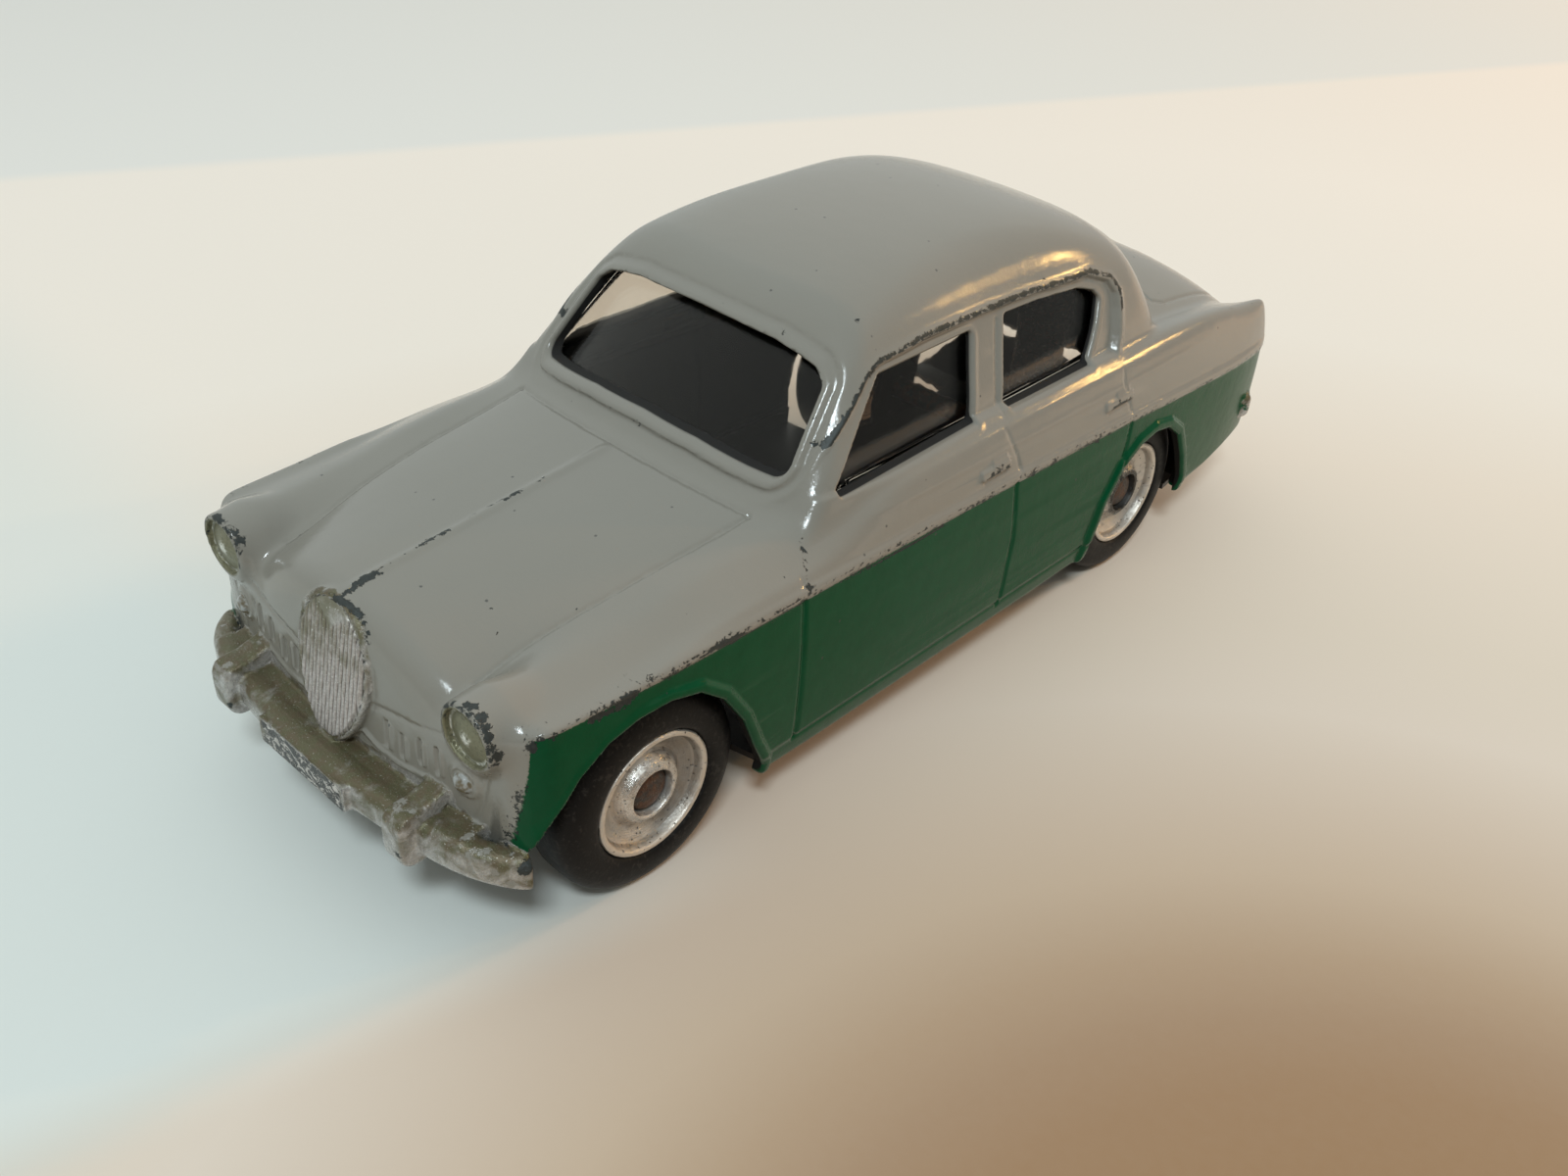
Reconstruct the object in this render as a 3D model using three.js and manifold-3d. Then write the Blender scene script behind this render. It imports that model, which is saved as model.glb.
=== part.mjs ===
// Diecast collector car: a one-piece zinc saloon body with its bumpers, grille and lamps cast in,
// a tinplate base held on by two peened posts, a clear glazing moulding, two steel axles with
// headed ends, four spun hubs and four rubber tyres.
// Millimetres. Length along Y with the front towards -Y, +Z up, tyre contact plane at z = 0.
import * as THREE from "three";
import Module from "manifold-3d";

const wasm = await Module();
wasm.setup();

// ---------------------------------------------------------------- sizes
const FRONT_AXLE_Y = -31.18;
const REAR_AXLE_Y = 23.38;
const TYRE_R = 7.4;
const AXLE_Z = TYRE_R;
const AXLE_R = 1.0;
const HUB_BORE_R = 1.05; // 0.05 mm running clearance on the axle
const EAR_BORE_R = 1.05;
const HUB_FACE_X = 16.28;
const HUB_R = 4.62;
const WALL = 1.25; // casting wall
const GLASS_OUT = 1.2; // glazing starts this far inside the cabin skin
const GLASS_IN = 1.85;
const PLATE_T = 0.5;
const PLATE_Z = 3.7; // underside of the tinplate base
const POST_Y = [-20.6, 32.0];
const POST_R = 2.2;
const RIVET_R = 1.2;
const RIVET_HEAD_R = 2.0;

// Lower body stations: y, half width, sill z, moulding z, shoulder x z, wing crown x z, valley x z, centre z
const BODY = [
  [-43.0, 14.8, 7.0, 16.4, 14.1, 17.2, 12.8, 17.7, 9.0, 15.3, 18.7],
  [-42.6, 15.9, 6.2, 17.2, 15.1, 17.9, 12.8, 18.6, 9.3, 16.1, 19.2],
  [-42.0, 16.5, 5.7, 17.6, 15.7, 18.3, 12.9, 19.1, 9.6, 16.6, 19.5],
  [-40.8, 16.9, 5.3, 17.85, 15.9, 18.6, 13.0, 19.45, 9.8, 16.9, 19.7],
  [-38.5, 17.2, 5.0, 17.9, 16.0, 18.8, 13.0, 19.75, 10.0, 17.5, 19.9],
  [-35, 17.4, 4.6, 17.9, 16.1, 18.95, 13.1, 19.95, 10.2, 18.6, 20.25],
  [-31, 17.5, 4.4, 17.8, 16.1, 19.1, 13.2, 20.15, 10.6, 19.4, 20.65],
  [-27, 17.5, 4.2, 17.7, 16.1, 19.2, 13.3, 20.3, 10.9, 19.9, 21.1],
  [-23, 17.5, 4.0, 17.65, 16.2, 19.35, 13.4, 20.55, 11.3, 20.35, 21.45],
  [-19.5, 17.5, 3.9, 17.6, 16.3, 19.7, 13.7, 20.95, 11.5, 20.75, 21.8],
  [-15, 17.5, 3.8, 17.55, 16.5, 20.3, 14.6, 21.5, 12.0, 21.6, 22.0],
  [-8, 17.5, 3.8, 17.4, 16.8, 20.6, 15.2, 21.8, 12.5, 22.0, 22.2],
  [8, 17.5, 3.8, 17.0, 16.8, 20.4, 15.3, 21.75, 12.5, 22.0, 22.2],
  [16, 17.5, 4.0, 16.7, 16.8, 20.1, 15.3, 21.65, 12.5, 21.8, 22.3],
  [22, 17.5, 4.2, 16.4, 16.7, 19.8, 15.3, 21.5, 12.4, 21.2, 22.4],
  [28, 17.45, 4.6, 16.05, 16.5, 19.3, 15.3, 21.25, 12.4, 20.7, 22.35],
  [33, 17.35, 5.0, 15.75, 16.3, 18.8, 15.3, 21.0, 12.4, 20.0, 21.8],
  [37, 17.2, 5.4, 15.5, 16.1, 18.3, 15.2, 20.45, 12.4, 19.2, 20.9],
  [40, 16.95, 5.8, 15.35, 15.95, 17.9, 15.05, 19.85, 12.3, 18.3, 19.7],
  [42.5, 16.5, 6.2, 15.2, 15.8, 17.5, 14.9, 19.25, 12.2, 17.1, 18.3],
  [44.0, 16.0, 6.6, 15.1, 15.5, 17.2, 14.8, 18.75, 12.0, 15.9, 16.9],
  [44.9, 15.3, 7.2, 14.9, 15.1, 16.8, 14.6, 18.3, 11.8, 14.6, 15.4],
  [45.3, 14.4, 8.2, 14.3, 14.3, 16.2, 14.1, 17.5, 11.4, 12.9, 13.6],
];

// Cabin levels: z, front centre y, front corner x y, side x, rear corner x y, rear centre y
const CABIN = [
  [19.0, -21.2, 13.1, -18.9, 15.7, 14.0, 27.2, 32.6],
  [20.6, -20.0, 12.9, -17.7, 15.4, 13.8, 26.9, 31.3],
  [22.5, -18.5, 12.6, -16.1, 14.95, 13.3, 26.3, 29.6],
  [25.0, -16.3, 12.1, -14.0, 13.95, 12.5, 25.2, 27.5],
  [27.4, -14.1, 11.5, -11.9, 13.0, 11.7, 23.6, 25.3],
  [28.7, -12.9, 10.9, -10.8, 12.55, 11.0, 22.3, 24.0],
  [29.9, -11.5, 9.7, -9.4, 11.5, 9.8, 20.7, 22.3],
  [31.0, -9.4, 8.0, -7.3, 9.7, 8.2, 18.4, 20.0],
  [31.9, -6.6, 6.0, -4.9, 7.4, 6.4, 15.4, 16.9],
  [32.5, -3.3, 4.2, -2.2, 5.2, 4.4, 12.0, 13.4],
  [32.9, 0.6, 2.0, 1.2, 2.4, 2.0, 7.4, 8.2],
];

// Openings
const WINDSCREEN = [[-11.5, 22.7], [11.5, 22.7], [10.1, 28.2], [-10.1, 28.2]]; // x z
const REAR_WINDOW = [[-10.6, 23.9], [10.6, 23.9], [9.5, 27.9], [-9.5, 27.9]]; // x z
const SIDE_FRONT = [[-15.0, 22.6], [0.3, 22.6], [0.5, 27.7], [-8.9, 27.7], [-9.7, 27.3]]; // y z
const SIDE_REAR = [[4.2, 22.6], [14.6, 22.5], [17.7, 25.9], [17.2, 26.9], [16.0, 27.3], [4.4, 27.7]]; // y z
const ARCH_FRONT = [
  [-41.2, 0], [-41.3, 8.3], [-40.9, 9.7], [-39.6, 11.6], [-37.9, 13.6], [-35.8, 15.0], [-33.6, 15.6],
  [-31.2, 15.7], [-28.8, 15.1], [-26.8, 13.5], [-24.9, 10.7], [-23.6, 7.6], [-22.4, 5.2], [-22.0, 0],
]; // y z
const ARCH_REAR = [
  [15.9, 0], [16.6, 6.7], [17.4, 9.6], [19.2, 12.2], [21.4, 13.5], [23.6, 13.9], [25.8, 13.5],
  [27.8, 12.1], [29.4, 9.4], [30.6, 6.8], [31.0, 0],
]; // y z
const WELL_R = 8.25; // clear space round each tyre inside the casting
const WELL_X = [10.9, 16.85];

// ---------------------------------------------------------------- solids from triangle lists
function solid(points, faces) {
  const s = new wasm.Manifold(
    new wasm.Mesh({
      numProp: 3,
      vertProperties: new Float32Array(points.flat()),
      triVerts: new Uint32Array(faces.flat()),
    }),
  );
  if (s.volume() < 0)
    return solid(points, faces.map(([a, b, c]) => [a, c, b]));
  return s;
}

// A closed solid through rings of equal length; each end is closed by a flat cap.
function loft(rings, capAxes) {
  const n = rings[0].length,
    points = rings.flat(),
    faces = [];
  for (let r = 0; r + 1 < rings.length; r++)
    for (let i = 0; i < n; i++) {
      const j = (i + 1) % n,
        a = r * n + i,
        b = r * n + j,
        c = (r + 1) * n + j,
        d = (r + 1) * n + i;
      faces.push([a, b, c], [a, c, d]);
    }
  const [u, v] = capAxes;
  for (const [ring, base, flip] of [
    [rings[0], 0, true],
    [rings[rings.length - 1], (rings.length - 1) * n, false],
  ]) {
    const contour = ring.map((p) => new THREE.Vector2(p[u], p[v]));
    const ccw = THREE.ShapeUtils.area(contour) > 0;
    const list = ccw ? contour : contour.slice().reverse();
    const map = (k) => base + (ccw ? k : n - 1 - k);
    for (const [a, b, c] of THREE.ShapeUtils.triangulateShape(list, [])) {
      const tri = [map(a), map(b), map(c)];
      faces.push(ccw !== flip ? tri : [tri[0], tri[2], tri[1]]);
    }
  }
  return solid(points, faces);
}

// A straight prism of a polygon. axis is the extrusion direction; the polygon lies in the other two axes.
function prism(poly, axis, lo, hi) {
  const at = (p, h) =>
    axis === 0 ? [h, p[0], p[1]] : axis === 1 ? [p[0], h, p[1]] : [p[0], p[1], h];
  const uv = axis === 0 ? [1, 2] : axis === 1 ? [0, 2] : [0, 1];
  return loft([poly.map((p) => at(p, lo)), poly.map((p) => at(p, hi))], uv);
}

function rounded(poly, radius, steps = 3) {
  const out = [];
  const n = poly.length;
  for (let i = 0; i < n; i++) {
    const p = poly[i],
      a = poly[(i + n - 1) % n],
      b = poly[(i + 1) % n];
    const la = Math.hypot(a[0] - p[0], a[1] - p[1]),
      lb = Math.hypot(b[0] - p[0], b[1] - p[1]);
    const d = Math.min(radius, la * 0.45, lb * 0.45);
    const s = [p[0] + ((a[0] - p[0]) * d) / la, p[1] + ((a[1] - p[1]) * d) / la];
    const e = [p[0] + ((b[0] - p[0]) * d) / lb, p[1] + ((b[1] - p[1]) * d) / lb];
    for (let k = 0; k <= steps; k++) {
      const t = k / steps;
      out.push([
        (1 - t) * (1 - t) * s[0] + 2 * t * (1 - t) * p[0] + t * t * e[0],
        (1 - t) * (1 - t) * s[1] + 2 * t * (1 - t) * p[1] + t * t * e[1],
      ]);
    }
  }
  return out;
}

// A lathe round X through (cy, cz). Profile is x, radius.
function turned(profile, segments, cy, cz, mirror) {
  const pts = [],
    faces = [],
    n = profile.length;
  const open = profile[0][1] < 1e-6;
  const ringStart = [];
  for (const [x, r] of profile) {
    ringStart.push(pts.length);
    if (r < 1e-6) pts.push([x, cy, cz]);
    else
      for (let k = 0; k < segments; k++) {
        const a = (2 * Math.PI * (k + 0.5)) / segments;
        pts.push([x, cy + r * Math.cos(a), cz + r * Math.sin(a)]);
      }
  }
  const last = open ? n - 1 : n;
  for (let i = 0; i < last; i++) {
    const j = (i + 1) % n,
      A = ringStart[i],
      B = ringStart[j],
      pa = profile[i][1] < 1e-6,
      pb = profile[j][1] < 1e-6;
    for (let k = 0; k < segments; k++) {
      const k2 = (k + 1) % segments;
      if (pa && !pb) faces.push([A, B + k2, B + k]);
      else if (!pa && pb) faces.push([A + k, A + k2, B]);
      else if (!pa && !pb) faces.push([A + k, A + k2, B + k2], [A + k, B + k2, B + k]);
    }
  }
  if (mirror) for (const p of pts) p[0] = -p[0];
  return solid(pts, faces);
}

const lerp = (a, b, t) => a + (b - a) * t;
function tableAt(table, key) {
  if (key <= table[0][0]) return table[0].slice();
  for (let i = 0; i + 1 < table.length; i++)
    if (key <= table[i + 1][0]) {
      const t = (key - table[i][0]) / (table[i + 1][0] - table[i][0]);
      return table[i].map((v, k) => lerp(v, table[i + 1][k], t));
    }
  return table[table.length - 1].slice();
}

// ---------------------------------------------------------------- body skin
// Half section of the lower body at a station, from the sill up to the centre line: [x, z] pairs.
function halfSection(row) {
  const [, w, zb, zs, x6, z6, xc, zc, xv, zv, z0] = row;
  const dome = (f) => [xv * f, lerp(zv, z0, Math.pow(1 - f * f, 0.9))];
  return [
    [w - 1.15, zb],
    [w - 0.45, zb + 0.55],
    [w - 0.1, zb + 2.0],
    [w, Math.min(11.5, zs - 3)],
    [w - 0.05, zs - 0.35],
    [w + 0.1, zs - 0.1],
    [w + 0.08, zs + 0.45],
    [w - 0.22, zs + 0.75],
    [x6, z6],
    [lerp(x6, xc, 0.5), lerp(z6, zc, 0.62)],
    [xc, zc],
    [lerp(xc, xv, 0.5), lerp(zc, zv, 0.42)],
    [xv, zv],
    dome(0.8),
    dome(0.5),
    dome(0.2),
    [0, z0],
  ];
}
const mirrorRing = (half, y) =>
  half
    .map(([x, z]) => [x, y, z])
    .concat(
      half
        .slice(0, -1)
        .reverse()
        .map(([x, z]) => [-x, y, z]),
    );

function outerLower() {
  return loft(BODY.map((row) => mirrorRing(halfSection(row), row[0])), [0, 2]);
}

// The cavity under the lower body, open at the bottom.
function innerLower(t, y0, y1) {
  const ys = [y0, ...BODY.map((r) => r[0]).filter((y) => y > y0 + 0.4 && y < y1 - 0.4), y1];
  const rings = ys.map((y) => {
    const row = tableAt(BODY, y);
    const [, w, , zs, x6, z6, xc, zc, xv, zv, z0] = row;
    const half = [
      [w - t - 0.1, 1.0],
      [w - t, Math.min(11, zs - 3)],
      [w - t, zs - 0.4],
      [x6 - t * 0.75, z6 - t * 0.9],
      [xc - 0.2, zc - t],
      [xv, zv - t],
      [xv * 0.6, lerp(zv, z0, 0.65) - t],
      [0, z0 - t],
    ];
    return mirrorRing(half, y);
  });
  return loft(rings, [0, 2]);
}

// Plan outline of the cabin at a height, drawn in by t.
function cabinRing(z, t) {
  const s = Math.min(1, Math.max(0, (z - 27) / 4));
  const row = tableAt(CABIN, Math.min(z + t * s, 32.9));
  let [, yf, xa, ya, xs, xb, yb, yr] = row;
  const d = t * (1 - 0.7 * s);
  yf += d * 1.25;
  ya += d * 1.2;
  xa -= d * 0.9;
  xs -= d;
  xb -= d * 0.9;
  yb -= d * 1.1;
  yr -= d * 1.2;
  const half = [
    [0, yf],
    [xa * 0.35, lerp(yf, ya, 0.1)],
    [xa * 0.7, lerp(yf, ya, 0.42)],
    [xa, ya],
    [lerp(xa, xs, 0.62), lerp(ya, yb, 0.055)],
    [lerp(xa, xs, 0.92), lerp(ya, yb, 0.16)],
    [xs, lerp(ya, yb, 0.4)],
    [xs, lerp(ya, yb, 0.6)],
    [lerp(xs, xb, 0.3), lerp(ya, yb, 0.84)],
    [lerp(xs, xb, 0.62), lerp(ya, yb, 0.95)],
    [xb, yb],
    [xb * 0.88, lerp(yb, yr, 0.42)],
    [xb * 0.5, lerp(yb, yr, 0.86)],
    [0, yr],
  ];
  return half
    .map(([x, y]) => [x, y, z])
    .concat(
      half
        .slice(1, -1)
        .reverse()
        .map(([x, y]) => [-x, y, z]),
    );
}
function cabin(t, zLow, zTop) {
  const zs = [zLow];
  for (const [z] of CABIN) if (z > zLow + 0.3 && z < zTop - 0.15) zs.push(z);
  zs.push(zTop);
  return loft(zs.map((z) => cabinRing(z, t)), [0, 1]);
}

// ---------------------------------------------------------------- cast-in trim
// A bar swept along plan points with an upright oval section; blunt ends.
function bar(path, zc, halfDepth, halfHeight) {
  const ringN = 8;
  const rings = path.map(([x, y], i) => {
    const a = path[Math.max(0, i - 1)],
      b = path[Math.min(path.length - 1, i + 1)];
    const tx = b[0] - a[0],
      ty = b[1] - a[1],
      l = Math.hypot(tx, ty);
    const nx = -ty / l,
      ny = tx / l;
    const ring = [];
    for (let k = 0; k < ringN; k++) {
      const q = (2 * Math.PI * (k + 0.5)) / ringN;
      const c = Math.cos(q) * halfDepth,
        s = Math.sin(q) * halfHeight;
      ring.push([x + nx * c, y + ny * c, zc + s]);
    }
    return ring;
  });
  return loft(rings, [1, 2]);
}
function bumper(front) {
  const s = front ? -1 : 1;
  const half = front
    ? [[0, 45.0], [5.5, 44.95], [9.5, 44.6], [12.6, 43.7], [14.9, 42.3], [16.3, 40.4]]
    : [[0, 45.2], [6, 45.15], [10.5, 44.9], [13.6, 44.3], [15.6, 43.2], [16.7, 41.6]];
  const pts = half
    .slice(1)
    .reverse()
    .map(([x, y]) => [-x, s * y])
    .concat(half.map(([x, y]) => [x, s * y]));
  return bar(pts, 8.5, front ? 1.0 : 0.8, 1.25);
}
function block(x0, x1, y0, y1, z0, z1) {
  return prism([[x0, y0], [x1, y0], [x1, y1], [x0, y1]], 2, z0, z1);
}
// A round boss facing along Y: profile is y, radius.
function bossY(profile, segments, cx, cz) {
  const pts = [],
    faces = [];
  const starts = [];
  for (const [y, r] of profile) {
    starts.push(pts.length);
    if (r < 1e-6) pts.push([cx, y, cz]);
    else
      for (let k = 0; k < segments; k++) {
        const a = (2 * Math.PI * k) / segments;
        pts.push([cx + r * Math.cos(a), y, cz + r * Math.sin(a)]);
      }
  }
  for (let i = 0; i + 1 < profile.length; i++) {
    const A = starts[i],
      B = starts[i + 1],
      pa = profile[i][1] < 1e-6,
      pb = profile[i + 1][1] < 1e-6;
    for (let k = 0; k < segments; k++) {
      const k2 = (k + 1) % segments;
      if (pa && !pb) faces.push([A, B + k, B + k2]);
      else if (!pa && pb) faces.push([A + k, B, A + k2]);
      else faces.push([A + k, B + k, B + k2], [A + k, B + k2, A + k2]);
    }
  }
  return solid(pts, faces);
}
function oval(cx, cz, rx, rz, n) {
  const out = [];
  for (let k = 0; k < n; k++) {
    const a = (2 * Math.PI * k) / n;
    out.push([cx + rx * Math.cos(a), cz + rz * Math.sin(a)]);
  }
  return out;
}
const flipX = (s) => s.mirror([1, 0, 0]);

function bodyShell() {
  let body = outerLower().add(cabin(0, 19.0, 32.9));
  // swept bumpers
  body = body.add(bumper(true)).add(bumper(false));
  // mounting feet that tie the bumpers to the apron
  body = body.add(block(-9.5, 9.5, -44.6, -42.0, 7.6, 9.3)).add(block(-9.5, 9.5, 44.0, 45.0, 7.8, 9.2));
  // grille shell
  body = body.add(prism(oval(0, 14.4, 3.95, 5.6, 24), 1, -43.75, -40.5));
  // number plate on the bumper centre
  body = body.add(block(-4.9, 4.9, -46.0, -44.6, 6.6, 8.9));
  for (const side of [1, -1]) {
    const m = (s) => (side > 0 ? s : flipX(s));
    // headlamp rim and lens, sidelight, tail lamp
    body = body.add(
      m(bossY([[-39.8, 0], [-39.8, 2.3], [-42.7, 2.62], [-43.0, 2.35], [-42.75, 2.05], [-43.05, 0]], 20, 12.83, 16.55)),
    );
    body = body.add(m(bossY([[-41.5, 0], [-41.5, 1.25], [-43.05, 1.1], [-43.45, 0.55], [-43.5, 0]], 12, 11.7, 12.3)));
    body = body.add(m(bossY([[46.0, 0], [45.75, 0.7], [45.3, 1.15], [43.0, 1.2], [43.0, 0]], 12, 13.6, 13.2)));
    // overrider
    body = body.add(
      m(
        prism(
          rounded([[-46.0, 7.6], [-45.4, 6.2], [-44.2, 6.2], [-43.8, 10.4], [-44.9, 11.2], [-45.7, 10.4]], 0.8, 2),
          0,
          8.6,
          10.2,
        ),
      ),
    );
    body = body.add(
      m(prism(rounded([[44.6, 6.4], [45.5, 6.4], [45.95, 8.0], [45.8, 10.3], [44.9, 10.8]], 0.6, 2), 0, 8.7, 10.0)),
    );
    // door handles
    for (const [y, z] of [[0.1, 19.6], [14.7, 19.1]])
      body = body.add(m(block(16.6, 17.55, y - 1.5, y + 1.5, z - 0.28, z + 0.28)));
    // drip rail over the doors
    const edge = cabinRing(28.35, 0).slice(3, 10);
    body = body.add(m(bar(edge.map(([x, y]) => [x + 0.05, y]), 28.35, 0.3, 0.28)));
  }
  // hollow out
  let room = innerLower(WALL, -41.0, 43.6).add(cabin(1.05, 17.0, 31.75));
  body = body.subtract(room);
  // glazed openings
  body = body
    .subtract(prism(rounded(WINDSCREEN, 1.5), 1, -25, -6))
    .subtract(prism(rounded(REAR_WINDOW, 1.6), 1, 15, 36));
  for (const poly of [SIDE_FRONT, SIDE_REAR]) body = body.subtract(prism(rounded(poly, 0.8, 2), 0, -20, 20));
  // wheel arches and the wells behind them
  for (const [poly, y] of [[ARCH_FRONT, FRONT_AXLE_Y], [ARCH_REAR, REAR_AXLE_Y]]) {
    body = body.subtract(prism(poly, 0, 9, 20)).subtract(prism(poly, 0, -20, -9));
    const well = turned([[WELL_X[0], 0], [WELL_X[0], WELL_R], [WELL_X[1], WELL_R], [WELL_X[1], 0]], 32, y, AXLE_Z);
    body = body.subtract(well).subtract(flipX(well));
  }
  // posts that go through the base and are peened over
  for (const y of POST_Y) {
    const top = tableAt(BODY, y)[10] - 0.6;
    const post = postSolid(y, top);
    body = body.add(post);
  }
  return body;
}
function postSolid(y, top) {
  const z = PLATE_Z,
    g = 0.06;
  const prof = [
    [z - 0.75, 0],
    [z - 0.75, RIVET_HEAD_R * 0.72],
    [z - 0.35, RIVET_HEAD_R],
    [z - g, RIVET_HEAD_R],
    [z - g, RIVET_R],
    [z + PLATE_T + g, RIVET_R],
    [z + PLATE_T + g, POST_R],
    [top, POST_R + 0.35],
    [top, 0],
  ];
  const pts = [],
    faces = [],
    n = 20,
    starts = [];
  for (const [h, r] of prof) {
    starts.push(pts.length);
    if (r < 1e-6) pts.push([0, y, h]);
    else
      for (let k = 0; k < n; k++) {
        const a = (2 * Math.PI * k) / n;
        pts.push([r * Math.cos(a), y + r * Math.sin(a), h]);
      }
  }
  for (let i = 0; i + 1 < prof.length; i++) {
    const A = starts[i],
      B = starts[i + 1],
      pa = prof[i][1] < 1e-6,
      pb = prof[i + 1][1] < 1e-6;
    for (let k = 0; k < n; k++) {
      const k2 = (k + 1) % n;
      if (pa) faces.push([A, B + k2, B + k]);
      else if (pb) faces.push([A + k, A + k2, B]);
      else faces.push([A + k, A + k2, B + k2], [A + k, B + k2, B + k]);
    }
  }
  return solid(pts, faces);
}

// ---------------------------------------------------------------- base, glazing, running gear
function baseplate() {
  const side = 15.75,
    neck = 9.9;
  const half = [
    [7.5, -40.7],
    [neck, -39.8],
    [neck, -22.4],
    [side, -21.2],
    [side, 14.9],
    [neck, 15.2],
    [neck, 31.6],
    [15.2, 32.4],
    [14.2, 41.4],
    [9.5, 42.4],
  ];
  const outline = half.concat(
    half
      .slice()
      .reverse()
      .map(([x, y]) => [-x, y]),
  );
  // side profile: flat between the axles, both ends turned up into the casting
  const up = [[-41.2, PLATE_Z + 2.6], [-38.9, PLATE_Z], [34.6, PLATE_Z], [43.0, PLATE_Z + 2.6]];
  const strip = up.concat(
    up
      .slice()
      .reverse()
      .map(([y, z]) => [y, z + PLATE_T]),
  );
  let plate = prism(outline, 2, PLATE_Z - 1, PLATE_Z + 5).intersect(prism(strip, 0, -20, 20));
  // upturned flanges along the sills
  for (const s of [1, -1]) {
    const a = s * side,
      b = s * (side - PLATE_T);
    plate = plate.add(block(Math.min(a, b), Math.max(a, b), -21.1, 14.85, PLATE_Z + 0.1, PLATE_Z + 2.0));
    // upturned ears that carry the axles
    for (const y of [FRONT_AXLE_Y, REAR_AXLE_Y]) {
      const e0 = s * neck,
        e1 = s * (neck - PLATE_T);
      plate = plate.add(
        prism(
          rounded([[y - 3.4, PLATE_Z + 0.05], [y + 3.4, PLATE_Z + 0.05], [y + 2.2, AXLE_Z + 2.3], [y - 2.2, AXLE_Z + 2.3]], 1.2, 3),
          0,
          Math.min(e0, e1),
          Math.max(e0, e1),
        ),
      );
      plate = plate.add(block(Math.min(e0, e1), Math.max(e0, e1), y - 3.4, y + 3.4, PLATE_Z + 0.05, PLATE_Z + 0.6));
    }
  }
  for (const y of [FRONT_AXLE_Y, REAR_AXLE_Y])
    plate = plate.subtract(turned([[-12, 0], [-12, EAR_BORE_R], [12, EAR_BORE_R], [12, 0]], 32, y, AXLE_Z));
  // holes for the two posts
  for (const y of POST_Y) {
    const hole = [];
    for (let k = 0; k < 20; k++) {
      const a = (2 * Math.PI * k) / 20;
      hole.push([(RIVET_R + 0.08) * Math.cos(a), y + (RIVET_R + 0.08) * Math.sin(a)]);
    }
    plate = plate.subtract(prism(hole, 2, PLATE_Z - 1, PLATE_Z + PLATE_T + 1));
  }
  return plate;
}

function glazing() {
  const shell = cabin(GLASS_OUT, 21.4, 31.55).subtract(cabin(GLASS_IN, 20.0, 30.9));
  return shell;
}

// Outer face at larger x; mirrored for the right side.
const HUB_PROFILE = [
  [HUB_FACE_X - 0.1, HUB_R - 0.12],
  [HUB_FACE_X - 0.5, HUB_R],
  [HUB_FACE_X - 0.85, 4.2],
  [12.9, 4.2],
  [12.4, 4.6],
  [12.1, 4.45],
  [12.1, 3.2],
  [13.4, 2.2],
  [13.4, HUB_BORE_R],
  [15.15, HUB_BORE_R],
  [15.35, 1.9],
  [15.95, 2.2],
  [15.85, 2.75],
  [15.35, 3.2],
  [15.45, 3.9],
  [HUB_FACE_X, 4.25],
];
const SEG_TYRE = 28;
const SEG_HUB = 24;
const TYRE_PROFILE = [
  [16.05, 4.72],
  [16.4, 5.4],
  [16.2, 6.7],
  [15.3, TYRE_R],
  [13.1, TYRE_R],
  [12.15, 6.7],
  [11.95, 5.4],
  [12.2, 4.72],
  [12.75, 4.72],
  [13.1, 4.27],
  [15.2, 4.27],
  [15.6, 4.72],
].map(([x, r]) => [x, r / Math.cos(Math.PI / SEG_TYRE)]); // flats of the turned form lie on the true radius
const AXLE_PROFILE = [
  [-15.95, 0],
  [-15.9, 0.8],
  [-15.62, 1.35],
  [-15.42, 1.5],
  [-15.42, AXLE_R],
  [15.42, AXLE_R],
  [15.42, 1.5],
  [15.62, 1.35],
  [15.9, 0.8],
  [15.95, 0],
];

// ---------------------------------------------------------------- named parts
const MATERIALS = {
  paint: new THREE.MeshStandardMaterial({ name: "painted_zinc", color: 0x9a9d9c, roughness: 0.35, metalness: 0.1 }),
  base: new THREE.MeshStandardMaterial({ name: "black_tinplate", color: 0x17171a, roughness: 0.5, metalness: 0.4 }),
  glass: new THREE.MeshStandardMaterial({ name: "clear_moulding", color: 0xcfd6d8, transparent: true, opacity: 0.45 }),
  steel: new THREE.MeshStandardMaterial({ name: "steel", color: 0x7a6a5c, roughness: 0.5, metalness: 0.9 }),
  aluminium: new THREE.MeshStandardMaterial({ name: "spun_aluminium", color: 0xc3bfb8, roughness: 0.35, metalness: 1 }),
  rubber: new THREE.MeshStandardMaterial({ name: "rubber", color: 0x151515, roughness: 0.75 }),
};

function meshOf(name, s, material) {
  const m = s.getMesh();
  const pos = new Float32Array(m.numVert * 3);
  for (let i = 0; i < m.numVert; i++)
    for (let k = 0; k < 3; k++) pos[3 * i + k] = m.vertProperties[i * m.numProp + k];
  const g = new THREE.BufferGeometry();
  g.setAttribute("position", new THREE.BufferAttribute(pos, 3));
  g.setIndex(new THREE.BufferAttribute(new Uint32Array(m.triVerts), 1));
  const out = new THREE.Mesh(g, material);
  out.name = name;
  return out;
}

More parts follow.
